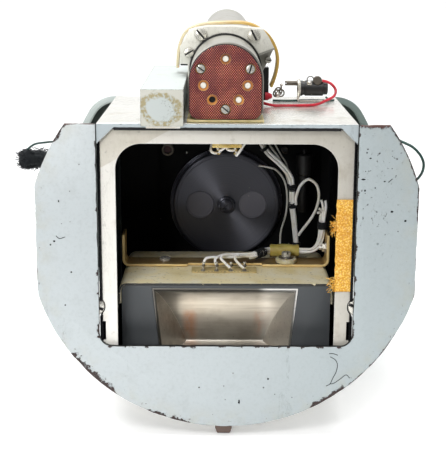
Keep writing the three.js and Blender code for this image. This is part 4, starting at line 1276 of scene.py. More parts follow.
def build_clamp():
    """The clamp round the upper tube: slotted screws, a slanted face at its right, a black ring inside as
    painted shadow in the gap, a dark block behind its right foot and a painted shadow line under its left
    foot.
    """
    clamp = box_of("clamp_block")
    barrel = box_of("tube_barrel")
    radius = (barrel.top - barrel.bottom) / 2
    cx, cz = barrel.left + radius, (barrel.top + barrel.bottom) / 2
    seat = lip.top + 0.3
    outline = [(-27.1, 89.3), (-22.6, 89.3), (-22.6, seat), (20.4, seat), (21.0, 84.2), (27.7, 97.9),
               (24.4, 104.4), (20.9, 109.2), (4, 110.8), (-11, 110.7), (-18.4, 109.4), (-22.2, 108.1),
               (-24.2, 103.6), (-27.1, 99)]
    bm = prism(bmesh.new(), outline, clamp.front, clamp.back, [circle(cx, cz, radius + 0.4, 64)])
    relief = turned_block((0, 40), (-40, 5), (-60, 0), 15, "Z", (0, 0, 0))
    turn(relief, -21.5, "Y")
    bmesh.ops.translate(relief, vec=(13, clamp.front, 92.1), verts=relief.verts)
    bm = carve(bm, [relief])
    soften(bm, 0.6, 2)
    piece(bm, "clamp_casting", M.cast, "clamp_block")
    for index, angle in zip((1, 2, 3), (48, 62, -30)):
        screw = box_of(f"clamp_screw_{index}")
        reach = (screw.top - screw.bottom) / 2
        screw_piece(f"clamp_screw_{index}_head", screw.x, clamp.front - 0.05, screw.z, reach, 2.3, angle,
                    M.steel, [f"clamp_screw_{index}"])
    screw_piece("clamp_screw_low", clamp.right - 3.4, clamp.front + 7.2, 91.2, 1.9, 1.5, 10, M.steel)
    # Painted shadow: a black ring in the gap between the clamp and the tube.
    ring = lathe(bmesh.new(),
                 [(radius - 0.2, clamp.front - 0.6), (radius + 1.5, clamp.front - 0.6),
                  (radius + 1.5, clamp.front), (radius - 0.2, clamp.front)], (cx, 0, cz), "y", 96)
    piece(ring, "clamp_gap_painted_shadow", M.bakelite_and_shade)
    # A dark block behind the right foot, and a black strip under the left foot as a painted shadow line.
    dark_blocks = bmesh.new()
    block(dark_blocks, (20.6, 25.2), (clamp.back - 2, clamp.back + 5), (seat + 2.5, 86))
    block(dark_blocks, (-26.9, -17.5), (clamp.front + 0.6, clamp.back - 1), (88.3, 89.25))
    soften(dark_blocks, 0.6, 2)
    piece(dark_blocks, "clamp_dark_block_and_shadow", M.bakelite_and_shade)
    refine("clamp_band", M.band, 0.45, 3, sharp=60)


def build_barrel():
    """The long tube, with a turned collar behind the clamp and a closed end with a stepped rim."""
    barrel = box_of("tube_barrel")
    clamp = box_of("clamp_block")
    radius = (barrel.top - barrel.bottom) / 2
    cz = (barrel.top + barrel.bottom) / 2
    front_x = barrel.left + radius
    skew = math.atan((barrel.right - radius - front_x) / (barrel.back - barrel.front))
    length = barrel.back - barrel.front
    inside, end_wall = radius - 1.5, length - 2.4
    collar = clamp.back - clamp.front + 17
    profile = [(0, end_wall), (inside, end_wall), (inside, 0.0), (radius - 0.2, 0.0), (radius, 0.3),
               (radius, collar - 1), (radius + 0.4, collar), (radius + 0.4, collar + 6), (radius, collar + 7)]
    for groove in (length - 34, length - 14):
        profile += [(radius, groove), (radius - 0.5, groove + 0.3), (radius - 0.5, groove + 1.6),
                    (radius, groove + 1.9)]
    profile += [(radius, length - 2.2), (radius - 0.6, length - 0.7), (radius - 2, length),
                (radius - 4, length), (radius - 4.6, length - 1.2), (0, length - 1.2)]
    bm = lathe(bmesh.new(), profile, (0, 0, 0), "y", 96)
    bmesh.ops.rotate(bm, cent=(0, 0, 0), matrix=Matrix.Rotation(-skew, 3, "Z"), verts=bm.verts)
    bmesh.ops.translate(bm, vec=(front_x, barrel.front, cz), verts=bm.verts)
    piece(bm, "barrel_tube", M.barrel, "tube_barrel")
    refine("barrel_saddle", M.cast, 0.6, 2)


# ---------------------------------------------------------------- drum

def drum_outline(inset):
    """The drum's round outline with its flat top, drawn in by an inset."""
    drum = box_of("drum_housing")
    radius, top = -drum.bottom - inset, drum.top - inset
    shoulder = max(20.0 - inset, 2.0)
    cz = top - shoulder
    reach = radius - shoulder
    cx = math.sqrt(reach * reach - cz * cz)
    tangent = math.degrees(math.atan2(cz, cx))
    points = arc(cx, cz, shoulder, tangent, 90, 14)
    points += arc(-cx, cz, shoulder, 90, 180 - tangent, 14)
    return points + arc(0, 0, radius, 180 - tangent, 360 + tangent, 150)[1:-1]


def drum_loops(bm, stations):
    return [[bm.verts.new((x, depth, z)) for x, z in drum_outline(inset)] for depth, inset in stations]


def build_drum():
    drum = box_of("drum_housing")
    cover = box_of("rear_cover")
    front, back = drum.front, drum.back
    bm = bmesh.new()
    outer = [(front, 3.8), (front, 0.9), (front + 0.3, 0.25), (front + 1.0, 0.0)]
    outer += [(front + 9, 0.0), (front + 9.4, 0.45), (front + 10.2, 0.45), (front + 10.6, 0.0)]
    outer += [(back - 8, 0.0), (back - 7.6, 0.4), (back - 6.8, 0.4), (back - 6.4, 0.0), (back - 0.3, 0.0),
              (back, 0.3)]
    inner = [(back, 2.5), (front + 4.2, 2.5), (front + 4.0, 4.5), (front + 0.5, 4.5)]
    skin(bm, drum_loops(bm, outer + inner), closed=True)
    piece(bm, "drum_shell", M.drum, "drum_housing")
    bm = bmesh.new()
    stations = [(cover.front, 0.3), (cover.back - 0.8, 0.0), (cover.back - 0.2, 0.25), (cover.back, 0.9),
                (cover.back, 11), (cover.back - 0.4, 11.8), (cover.back - 1.3, 12.6), (cover.back - 1.3, 24),
                (cover.back - 0.6, 25)]
    skin(bm, drum_loops(bm, stations), capped=True)
    piece(bm, "rear_cover_pressing", M.drum, "rear_cover", sharp=50)
    refine("drum_bulkhead", M.drum_inside, 0.4, 1)
    build_cover_screws(cover)


def build_cover_screws(cover):
    bm = bmesh.new()
    ring = drum_outline(6)
    cutters = []
    for k in range(8):
        x, z = ring[(k * len(ring)) // 8 + 6]
        lathe(bm, [(0, cover.back), (2.9, cover.back), (2.8, cover.back + 1), (2.2, cover.back + 1.7),
                   (0, cover.back + 1.9)], (x, 0, z), "y", 28)
        cutters.append(turned_block((-3, 3), (cover.back + 1.0, cover.back + 3), (-0.35, 0.35), 37 * k, "Y",
                                    (x, 0, z)))
    piece(carve(bm, cutters), "cover_screws", M.steel)


# ---------------------------------------------------------------- disc

def build_disc():
    disc = box_of("turned_disc")
    radius = (disc.right - disc.left) / 2
    front, back = disc.front, disc.back
    windows = [box_of(f"disc_window_{side}") for side in ("left", "right")]
    bore = 4.4
    profile = [(bore, back), (radius - 0.4, back), (radius, back - 0.5), (radius, front + 1.0),
               (radius - 0.7, front + 0.25), (radius - 1.6, front), (radius - 2.0, front + 0.02),
               (radius - 2.2, front + 0.22), (radius - 2.5, front + 0.22), (radius - 2.7, front + 0.02),
               (bore, front + 0.02)]
    bm = lathe(bmesh.new(), profile, (disc.x, 0, disc.z), "y", 128)
    cutters = []
    for window in windows:
        cutter = bmesh.new()
        width = (window.right - window.left) / 2 + 0.85
        lathe(cutter, [(0, front - 2), (width, front - 2), (width, back + 2), (0, back + 2)],
              (window.x, 0, window.z), "y", 64)
        cutters.append(cutter)
    bm = carve(bm, cutters)
    piece(bm, "disc_plate", M.disc, "turned_disc", body=DISC, sharp=30)
    for side, window in zip(("left", "right"), windows):
        reach = (window.right - window.left) / 2 + 0.7
        bm = lathe(bmesh.new(),
                   [(0, front + 0.22), (reach - 1.1, front + 0.22), (reach - 0.9, front + 0.05),
                    (reach - 0.2, front + 0.05), (reach, front + 0.3), (reach, window.back),
                    (0, window.back)], (window.x, 0, window.z), "y", 64)
        piece(bm, f"window_{side}_insert", M.insert, f"disc_window_{side}", body=DISC)
    build_spindle(disc)
    refine("disc_bezel", M.hub, 0.3, 2)
    refine("bearing_bush", M.brass, 0.2, 1)


def build_spindle(disc):
    spindle = box_of("disc_spindle")
    front = spindle.front
    hub = 5.6
    profile = [(0, front + 0.9), (0.6, front + 0.9), (1.0, front + 0.45), (1.5, front + 0.45),
               (1.8, front + 0.1), (3.5, front), (4.0, front + 0.15), (4.3, front + 0.5),
               (4.35, front + 1.3), (4.9, front + 1.35), (5.3, front + 1.45), (hub, front + 1.8),
               (hub, disc.front - 0.3), (4.0, disc.front - 0.3), (4.0, spindle.back), (0, spindle.back)]
    bm = lathe(bmesh.new(), profile, (disc.x, 0, disc.z), "y", 64)
    piece(bm, "spindle_hub", M.hub, "disc_spindle", body=DISC)


# ---------------------------------------------------------------- hidden tube

def build_tube():
    refine("crt_envelope", M.glass, 0, 1, sharp=50)
    refine("electron_gun", M.steel, 0.2, 1)
    refine("deflection_yoke", M.winding, 0.5, 2)
    refine("magnetic_shield", M.dark_steel, 0.2, 1)
    refine("tube_socket", M.bakelite_and_shade, 0.6, 2)


# ---------------------------------------------------------------- reflector block

def build_block():
    refine("reflector_block", M.block, 0.5, 2)
    refine("reflector", M.reflector, 0, 1, sharp=25)
    refine("block_lid", M.lid, 0.3, 2)
    refine("support_bracket", M.gold, 0.35, 2)


def blob(bm, centre, radius, seed, flatten=1.0):
    """A lump of solder."""
    made = bmesh.ops.create_icosphere(bm, subdivisions=2, radius=radius)["verts"]
    for v in made:
        v.co *= 1 + 0.3 * noise.noise(v.co / radius * 1.3 + Vector((seed, 0, 0)))
        v.co.z *= flatten
        v.co += Vector(centre)


post_strip = box_of("post_strip")
POST_X = [-13.2, -5.4, 2.9, 10.8]
POST_Y = 41.0
POST_FOOT = post_strip.bottom + 1.0


def build_posts():
    """Four slim soldered pins in an aged laminate strip with a row of small holes, drawn as flat black discs
    of painted shade.
    """
    bm = bmesh.new()
    block(bm, (post_strip.left, post_strip.right), (post_strip.front + 1.2, post_strip.back),
          (post_strip.bottom, POST_FOOT - 0.3))
    soften(bm, 0.2, 2)
    piece(bm, "post_strip_board", M.strip, "post_strip")
    metal = bmesh.new()
    lumps = bmesh.new()
    for k, x in enumerate(POST_X):
        lathe(metal,
              [(0, 0), (1.4, 0), (1.4, 0.7), (0.62, 0.9), (0.62, 4.6), (0.95, 4.8), (0.95, 5.3), (0, 5.6)],
              (x, POST_Y, POST_FOOT), "z", 20)
        blob(lumps, (x + 0.2, POST_Y, POST_FOOT + 3.3), 0.95, k * 5, 1.2)
        blob(lumps, (x, POST_Y - 0.5, POST_FOOT + 0.5), 1.1, k * 7 + 2, 0.5)
    piece(metal, "solder_posts", M.solder)
    piece(lumps, "post_solder", M.dark_steel, sharp=180)
    # Painted shade: flat black discs stand in for the dark of small holes.
    dots = bmesh.new()
    spacing, hole = 1.9, 0.42
    for k in range(int((post_strip.right - post_strip.left - 4) / spacing)):
        x = post_strip.left + 2.4 + k * spacing
        if min(abs(x - post) for post in POST_X) > 1.6:
            lathe(dots, [(0, 0), (hole, 0), (hole, 0.06), (0, 0.06)], (x, POST_Y - 0.2, POST_FOOT - 0.31),
                  "z", 12)
    piece(dots, "post_strip_hole_shadows", M.bakelite_and_shade)


def build_clip():
    """A P-clip of yellowed nylon: a lumpy loop round the harness, and a round tab under washer and screw."""
    screw = box_of("clip_screw")
    left, right, bore = 26.8, 44.2, 2.7
    bm = bmesh.new()
    profile = [(bore, left), (3.5, left), (3.8, left + 0.8), (3.5, left + 3.5), (3.9, left + 6),
               (3.9, right - 6), (3.5, right - 3), (3.7, right - 0.7), (3.4, right), (bore, right)]
    lathe(bm, profile, (0, CLIP_PASS.y, CLIP_PASS.z), "x", 40)
    for v in bm.verts:
        v.co += Vector((0, 0.2, 0.3)) * noise.noise(v.co / 2.5)
    piece(bm, "cable_clip_loop", M.nylon, "cable_clip", sharp=50)
    x, y, foot = screw.x + 2.3, screw.y - 1.5, clip.bottom
    thick = 2.4
    bm = lathe(bmesh.new(), [(0, 0), (6.0, 0), (6.3, 0.5), (6.3, thick - 0.5), (5.9, thick), (0, thick)],
               (x - 0.2, y - 1, foot), "z", 48)
    piece(bm, "cable_clip_tab", M.tab)
    bm = lathe(bmesh.new(), [(1.4, 0), (4.5, 0), (4.7, 0.3), (4.5, 0.6), (1.4, 0.6)], (x, y, foot + thick),
               "z", 40)
    piece(bm, "clip_washer", M.dark_steel)
    bm = bmesh.new()
    head, height = 2.8, 3.6
    lathe(bm, [(0, 0.6), (head, 0.6), (head, height - 0.4), (head - 0.4, height), (0, height + 0.15)],
          (x, y, foot + thick), "z", 40)
    cutter = turned_block((-0.42, 0.42), (-4, 4), (height - 1.2, height + 2), 12, "Z", (x, y, foot + thick))
    piece(carve(bm, [cutter]), "clip_screw_head", M.steel, "clip_screw")


# ---------------------------------------------------------------- wiring

clip = box_of("cable_clip")
CLIP_PASS = Vector((clip.x, clip.back - 4.2, clip.top - 4.2))
PACKED = [(0.0, 0), (1.35, 0), (1.35, 72), (1.35, 144), (1.35, 216), (1.35, 288)]


def build_main_harness():
    """Wires from the posts, laced, held by the clip and carried up the right side."""
    path = [(14, 54, -22.2), (19, 57.5, -22.0), CLIP_PASS - Vector((7, 0.2, 0)),
            CLIP_PASS + Vector((7, -0.2, 0)), (48.5, 68, -22.4), (52.4, 66.5, -21.2), (55.2, 65.5, -18.2),
            (57.0, 65, -12.6), (57.4, 64, -5.0), (57.6, 63, 0.2)]
    runs = bundle_runs(path, PACKED[:5], 0.6, 120, 0.2)
    tips = [(56.4, 62, 10.1), (59.0, 62.5, 9.6), (55.2, 61.5, 4.8), (54.4, 61, 2.4), (58.8, 64, 5.5)]
    for run, tip in zip(runs, tips):
        bend = (run[-1] + Vector(tip)) / 2 + Vector((0.5, 0, 0.8))
        run += smooth_path([run[-1], bend, tip], 10)[1:]
    top = POST_FOOT + 4.0
    curls = [[(POST_X[0], POST_Y, top), (-11.2, 43.5, -20.9), (-4.6, 47, -21.2), (5.4, 51, -22.2)],
             [(POST_X[1], POST_Y, top - 1), (-6.3, 43, -21.8), (-4.1, 46, -20.4), (0.8, 50, -20.2),
              (8, 53, -21)],
             [(POST_X[2] - 0.6, POST_Y - 0.6, top - 2), (-0.6, 41.8, -23.2), (-2.9, 43.4, -21),
              (-1.2, 46, -19.8), (4, 51, -20.6)],
             [(POST_X[3] - 0.6, POST_Y - 0.6, top - 2), (7.2, 41.8, -23.4), (5.2, 43.6, -21),
              (7.2, 47, -20.2), (10.4, 51, -21.4)]]
    for k, curl in enumerate(curls):
        lead = smooth_path(curl + [runs[k][0]], 34)
        runs[k] = lead[:-1] + runs[k]
    spline_curve("harness_wires", runs, 0.78, M.white, slot="white_insulation", replaces=["wiring_harness"])
    laces = [lacing_run(path, at, turns, 2.35) for at, turns in ((0.11, 5), (0.16, 3), (0.865, 4), (0.9, 4))]
    spline_curve("harness_lacing", laces, 0.38, M.lacing, slot="black_braid")


def build_upright_harness():
    """Laced wires that come down beside the disc, with three looser ones next to them."""
    y = box_of("upright_harness").y
    path = [(17, y, 47.5), (21.5, y, 40), (25.5, y, 34.1), (33.3, y, 27.2), (39.0, y, 20), (40.5, y, 13.2),
            (41, y, 1.9), (42.1, y, -6.3), (43.6, y, -19), (44, y, -24.5)]
    places = [(1.05, 90), (1.05, 210), (1.05, 330)]
    runs = bundle_runs(path, places, 0.25, 110, 0.15, seed=3)
    spline_curve("upright_wires", runs, 0.95, M.white, slot="white_insulation", replaces=["upright_harness"])
    last = len(path) - 1
    knots = ((1.5, 3), (5.0, 5), (6.0, 4), (8.6, 6))
    laces = [lacing_run(path, at / last, turns, 2.25) for at, turns in knots]
    spline_curve("upright_lacing", laces, 0.42, M.lacing, slot="black_braid")
    second = [(22, y + 1, 46), (27.2, y + 1, 37.8), (32.2, y + 1, 31.1), (36.0, y + 1, 23.1),
              (38.8, y + 1, 14)]
    wire("second_wire", second, 0.6, M.grey_wire, slot="white_insulation")
    third = [(27, y + 3, 44), (30.4, y + 3, 38), (33.6, y + 3, 32.4), (37.3, y + 3, 26.3), (39.4, y + 3, 17)]
    wire("third_wire", third, 0.5, M.grey_wire, slot="white_insulation")
    fine = [(20, y + 3, 25.8), (25.1, y + 3, 25), (30.7, y + 3, 23.2), (35.7, y + 3, 16.9),
            (37.7, y + 3, 8.2), (37.2, y + 1, -3.4), (33.9, y - 5, -13.3), (33.2, y - 10, -21)]
    wire("fine_wire", fine, 0.6, M.grey_wire, slot="white_insulation")


def build_loop_wire():
    y = box_of("loop_wire").y
    path = [(42.6, y + 2, 4), (42.4, y, 8.8), (44.6, y, 15.6), (49.4, y, 19.9), (54.3, y, 16.9),
            (56.2, y, 10.8), (55.2, y, 3.3), (51.8, y, -4.1), (45.9, y, -12.3), (44.6, y + 1, -15)]
    wire("loop_wire_sleeve", path, 0.9, M.white, 90, slot="white_insulation", replaces=["loop_wire"])


def build_top_terminals():
    """The block under the chassis top, its two soldered terminals and their thick wires."""
    top = box_of("top_terminals")
    block_bottom = 47.6
    bm = bmesh.new()
    block(bm, (top.left - 0.6, top.right - 2.4), (top.front, top.back), (block_bottom, top.top))
    soften(bm, 0.5, 2)
    piece(bm, "terminal_block", M.brass, "top_terminals")
    metal = bmesh.new()
    lumps = bmesh.new()
    y = 31.0
    for k, x in enumerate((-4.6, 5.0)):
        lathe(metal,
              [(0, 0.2), (1.7, 0.2), (1.7, -0.5), (0.8, -0.8), (0.8, -1.8), (1.5, -2.2), (1.5, -2.9),
               (0.8, -3.2), (0.8, -4.0), (1.35, -4.3), (1.35, -5.0), (0, -5.4)], (x, y, block_bottom), "z",
              18)
        blob(lumps, (x - 0.4, y - 0.9, block_bottom - 1.5), 1.0, 3 + k)
        blob(lumps, (x + 0.5, y - 0.6, block_bottom - 3.6), 1.1, 8 + k)
    piece(metal, "terminal_posts", M.brass)
    piece(lumps, "terminal_solder", M.solder, sharp=180)
    front = y - 2
    tails = [[(-4.4, y, 45.2), (-3.2, front, 45.2), (1.7, front, 48.6), (4, front, 51)],
             [(5.0, y, 42.6), (5.8, front, 42.6), (9.7, front, 48.6), (11, front, 51)],
             [(-8.6, y, 47.6), (-8.9, front, 45.2), (-7.6, front, 43.6), (-4.8, y, 43.2)],
             [(-0.6, y, 47.4), (0.4, front, 45.6), (2.4, front, 45.0), (5, y, 45.0)]]
    runs = [smooth_path(tail, 16) for tail in tails]
    spline_curve("terminal_tails", runs, 0.72, M.white, slot="white_insulation")


def build_chamber_hardware():
    """Bushes and fastenings seen in the dark of the chamber."""
    panel = box_of("disc_panel")
    rings = [(-36.6, 31.0, 4.0, 2.3), (37.8, 31.0, 2.3, 1.5)]
    for index, (x, z, outer, inner) in enumerate(rings):
        bm = bmesh.new()
        front = panel.front - 2.4
        lathe(bm, [(inner, panel.front), (outer, panel.front), (outer, front + 0.4), (outer - 0.5, front),
                   (inner + 0.4, front), (inner, front + 0.4)], (x, 0, z), "y", 40)
        piece(bm, f"panel_bush_{index + 1}", M.dark_steel)
        bm = lathe(bmesh.new(),
                   [(0, panel.front - 1.2), (inner - 0.25, panel.front - 1.2), (inner - 0.25, panel.front),
                    (0, panel.front)], (x, 0, z), "y", 24)
        piece(bm, f"panel_bush_seal_{index + 1}", (M.dark_red, M.bakelite_and_shade)[index])
    bm = bmesh.new()
    rim = box_of("disc_bezel").front
    specks = [(-28.4, panel.front, 35.8, 0.55), (-24.6, rim, 29.5, 0.7), (-25.1, rim, -20.8, 0.45)]
    for k, (x, y, z, size) in enumerate(specks):
        blob(bm, (x, y - 0.2, z), size, k * 4)
    piece(bm, "pale_specks", M.white, sharp=180)
    bm = lathe(bmesh.new(),
               [(0, 17.6), (4.6, 17.6), (5.2, 18.2), (5.2, 30), (4.4, 31), (1.2, 31), (1.0, 33.5),
                (0, 33.6)], (49, 102, 0), "z", 40)
    piece(bm, "tubular_part", M.bakelite_and_shade)
    bm = lathe(bmesh.new(), [(0, -6), (3.0, -6), (3.2, -2), (2.6, 8), (3.4, 14), (3.4, 17.2), (0, 17.2)],
               (48.5, 102, 0), "z", 32)
    piece(bm, "rubber_boot", M.bakelite_and_shade, sharp=60)


def build_lid_hardware():
    """The slotted screw on the bracket, left, and the nut inside the right ear."""
    bracket = box_of("support_bracket")
    base_top = bracket.bottom + 1.5
    bm = lathe(bmesh.new(), [(0, 0), (3.4, 0), (3.4, 1.2), (2.7, 1.9), (0, 2.1)], (-36.4, 62.7, base_top),
               "z", 36)
    cutter = bmesh.new()
    block(cutter, (-4, 4), (-0.4, 0.4), (1.1, 4))
    bmesh.ops.translate(cutter, vec=(-36.4, 62.7, base_top), verts=cutter.verts)
    piece(carve(bm, [cutter]), "bracket_screw", M.solder)
    bm = bmesh.new()
    ear = bracket.right - 1.5
    lathe(bm, [(0, ear), (3.4, ear), (3.4, ear - 0.6), (2.6, ear - 0.6), (2.6, ear - 2.4), (1.4, ear - 2.4),
               (1.4, ear - 4.2), (0, ear - 4.2)], (0, 60, -18.5), "x", 6)
    piece(bm, "ear_nut", M.steel)


# ---------------------------------------------------------------- pieces on the chassis top

def build_preset():
    """A round preset lying on its side: a grooved can in a steel ring, with soldered lugs on top."""
    preset = box_of("preset_body")
    spindle = box_of("preset_spindle")
    left, right = 44.2, 62.0
    reach = 4.7
    y, z = spindle.y, spindle.z - 3.0
    bm = lathe(bmesh.new(),
               [(0, left), (reach - 0.5, left), (reach, left + 0.5), (reach, left + 2.4),
                (reach - 0.5, left + 2.7), (reach - 0.5, left + 3.6), (reach, left + 3.9),
                (reach, right - 3), (reach - 0.9, right - 2.6), (reach - 0.9, right - 0.5),
                (reach - 1.5, right), (0, right)], (0, y, z), "x", 48)
    bore = bmesh.new()
    clear = (spindle.top - spindle.bottom) / 2 + 0.15
    lathe(bore, [(0, left - 3), (clear, left - 3), (clear, spindle.right + 1), (0, spindle.right + 1)],
          (0, spindle.y, spindle.z), "x", 28)
    piece(carve(bm, [bore]), "preset_can", M.bakelite_and_shade, "preset_body")
    bm = lathe(bmesh.new(),
               [(reach + 0.1, left - 0.7), (reach + 0.7, left - 0.7), (reach + 1.0, left + 0.1),
                (reach + 0.7, left + 1.0), (reach + 0.1, left + 1.0)], (0, y, z), "x", 48)
    foot = preset.bottom
    block(bm, (left - 0.7, left + 0.3), (y - 3, y + 3), (foot, z - reach + 0.4))
    block(bm, (left - 0.7, right - 3), (y - 2.6, y + 2.6), (foot, foot + 0.9))
    piece(bm, "preset_bracket", M.steel)
    lumps = bmesh.new()
    blob(lumps, (50.6, y - 3.2, z + 3.4), 1.9, 7, 0.8)
    blob(lumps, (53.6, y - 2.6, z + 4.6), 1.2, 9, 0.9)
    blob(lumps, (57.4, y - 3.2, z + 5.0), 1.2, 12, 0.8)
    piece(lumps, "preset_solder", M.solder, sharp=180)
    lug = lathe(bmesh.new(),
                [(0, y - 4.6), (2.4, y - 4.6), (2.7, y - 4.2), (2.7, y - 1.6), (2.2, y - 1.2), (0, y - 1.2)],
                 (55.4, 0, z + 5.0), "y", 24)
    piece(lug, "preset_lug", M.dark_steel)
    ring = [Vector((x, y - 2, up)) for x, up in arc(51.2, z + 5.4, 2.0, 0, 360, 24)]
    spline_curve("preset_wire_ring", [ring], 0.36, M.dark_steel, slot="bright_steel")
    bm = bmesh.new()
    radius = (spindle.top - spindle.bottom) / 2
    tip = spindle.left
    lathe(bm, [(0, tip), (radius - 0.35, tip), (radius, tip + 0.4), (radius, spindle.right),
               (0, spindle.right)], (0, spindle.y, spindle.z), "x", 32)
    cutter = bmesh.new()
    block(cutter, (tip - 1, tip + 1.3), (spindle.y - 3, spindle.y + 3), (spindle.z - 0.3, spindle.z + 0.3))
    piece(carve(bm, [cutter]), "preset_spindle_turned", M.dark_steel, "preset_spindle",
          body=PRESET)


def build_top_leads():
    """The red lead round the preset, its cap, a twisted solder tag and a green lead on the chassis."""
    deck = lip.top
    rest = deck + 0.95
    path = [(57.4, 96, 77.0), (60.8, 96, 76.4), (64.0, 95, 74.8), (66.4, 94, 71.5), (65.0, 90, 68.2),
            (59.7, 84, 66.2), (53.2, 78, rest), (43.5, 73.5, rest), (34.1, 73, rest), (27.5, 73.5, rest),
            (21.6, 76, 65.6)]
    wire("red_lead_sleeve", path, 0.85, M.red, 100, slot="red_insulation", replaces=["red_lead"])
    bm = lathe(bmesh.new(), [(0, 22.8), (2.3, 23.0), (2.3, 24.4), (1.5, 26.6), (0.9, 27.2), (0, 27.3)],
               (0, 79.5, 69.3), "x", 24)
    piece(bm, "red_cap", M.red)
    loops = []
    for k, (x, z, tilt) in enumerate(((31.2, 71.6, 0.3), (32.6, 70.6, 0.9), (30.2, 70.4, 1.6))):
        ring = []
        for i in range(22):
            angle = TAU * i / 19 + k
            ring.append(Vector((x + 2.1 * math.cos(angle), 85 + 1.4 * math.sin(angle + tilt),
                                z + 2.0 * math.sin(angle))))
        loops.append(ring)
    loops.append(smooth_path([(32.4, 85, 72), (32.9, 85, 74.2), (32.2, 85, 75.8)], 8))
    spline_curve("solder_tag_loops", loops, 0.48, M.dark_steel, slot="bright_steel")
    lumps = bmesh.new()
    blob(lumps, (30.6, 84.6, 69.6), 1.7, 17, 1.1)
    blob(lumps, (33.0, 84.2, 75.4), 0.9, 19)
    piece(lumps, "tag_solder", M.solder, sharp=180)
    lead = deck + 0.75
    green = [(28.6, 99, lead), (38, 98, lead), (48, 99.5, lead + 0.1), (58, 100.6, lead),
             (63, 102, lead - 0.5)]
    wire("short_green_lead", green, 0.7, M.green, 50, slot="green_insulation")
    back = [(61, 97, lead + 2.4), (63.5, 101, lead), (66.5, 104, lead - 0.2)]
    wire("second_green_lead", back, 0.6, M.green, 40, slot="green_insulation")


def build_side_leads():
    path = [(78, 134, 38), (88, 122, 41), (99, 92, 43.5), (105, 66, 43.7), (109.6, 61, 41.6),
            (113.9, 60, 36.8), (115.7, 60, 31.4), (114.3, 61, 25.4), (110.4, 66, 20.8), (102, 90, 17.6),
            (92, 122, 17), (88, 134, 18)]
    wire("green_lead_sleeve", path, 0.8, M.green, 90, slot="green_insulation", replaces=["green_lead"])
    thin = [(-86, 130, 26), (-95, 108, 36), (-101, 70, 42.8), (-105.5, 60, 44), (-111.5, 59, 43.1),
            (-116, 59, 40)]
    wire("thin_green_lead", thin, 0.6, M.green, 40, slot="green_insulation")


def build_sleeve():
    """The black braided sleeve, swollen and frayed at its end into a brush of threads."""
    sleeve = box_of("cable_sleeve")
    path = [(-86, 132, 20), (-97, 112, 24), (-105, 80, 31), (-110, 66, 33.2), (sleeve.left + 2, 59, 34.2)]
    rows, around = 80, 40
    spots = smooth_path(path, rows)
    frames = side_vectors(spots)
    bm = bmesh.new()
    loops = []
    for i, (spot, (u, v)) in enumerate(zip(spots, frames)):
        t = i / (rows - 1)
        swell = max(0.0, t - 0.45) / 0.55
        rounded = math.sqrt(max(0.04, 1 - max(0.0, (t - 0.9) / 0.1) ** 2))
        girth = (3.4 + 2.8 * swell) * rounded
        ring = []
        for k in range(around):
            angle = TAU * k / around
            weave = 0.25 * math.sin(7 * angle + i * 0.9) * math.cos(7 * angle - i * 0.9)
            fuzz = 1.3 * noise.noise(Vector((i * 0.16, 3 * math.cos(angle), 3 * math.sin(angle)))) * swell
            outwards = u * math.cos(angle) + v * math.sin(angle)
            ring.append(bm.verts.new(spot + outwards * (girth + weave + fuzz)))
        loops.append(ring)
    skin(bm, loops, capped=True)
    piece(bm, "sleeve_braid", M.braid, "cable_sleeve", sharp=180)
    rng = random.Random(21)
    threads = []
    tapers = []
    thread_count, bends = 420, 6
    for _ in range(thread_count):
        i = int(rows * (1 - rng.random() ** 1.3 * 0.5)) - 1
        u, v = frames[i]
        angle = rng.uniform(0, TAU)
        out = u * math.cos(angle) + v * math.sin(angle)
        along = (spots[min(i + 1, rows - 1)] - spots[max(i - 1, 0)]).normalized()
        near_end = max(0.35, math.sqrt(max(0.0, 1 - max(0.0, (i / rows - 0.88) / 0.12) ** 2)))
        start = spots[i] + out * rng.uniform(4.6, 6.2) * near_end
        heading = (along * rng.uniform(0.2, 1.2) + out * rng.uniform(0.0, 0.7)).normalized()
        reach = rng.uniform(1.2, 3.6)
        run = [start]
        for _ in range(bends):
            bend = Vector([rng.uniform(-0.4, 0.4) for _ in range(3)])
            heading = (heading + bend - out * 0.1).normalized()
            run.append(run[-1] + heading * reach / bends)
        threads.append(run)
        tapers.append(rng.uniform(0.7, 1.4))
    spline_curve("sleeve_threads", threads, 0.2, M.braid, slot="black_braid", sides=1, tapers=tapers)


# ---------------------------------------------------------------- studio

PAPER_HALF_WIDTH = 3000
PAPER_NEAR, PAPER_FAR, PAPER_TOP = -320, 1200, 2600
PAPER_SWEEP = 700
# Each lamp's name, place, target, diameter in millimetres and power in watts.
LAMPS = [
    ("key_light", (-560, -1250, 400), (0, 60, -10), 480, 5.4),
    ("high_light", (-220, -1000, 1250), (0, 60, -10), 700, 11.1),
    ("fill_light", (1250, -700, 600), (0, 60, 0), 900, 1.0),
    ("top_light", (-150, 250, 1500), (0, 150, 0), 1300, 20),
]
# The room's brightness behind the camera, facing it, and seen straight by the camera.
ROOM_DIM, ROOM_BRIGHT, ROOM_SEEN = 0.07, 1.25, 1.0
ROOM_TINT = (0.97, 0.99, 1.0, 1)
EYE = (-5.5, -578.6, 147.4)
PITCH, YAW, ROLL = (math.radians(angle) for angle in (13.42, 0.34, 0.32))
SENSOR_WIDTH, LENS = 36.0, 89.36


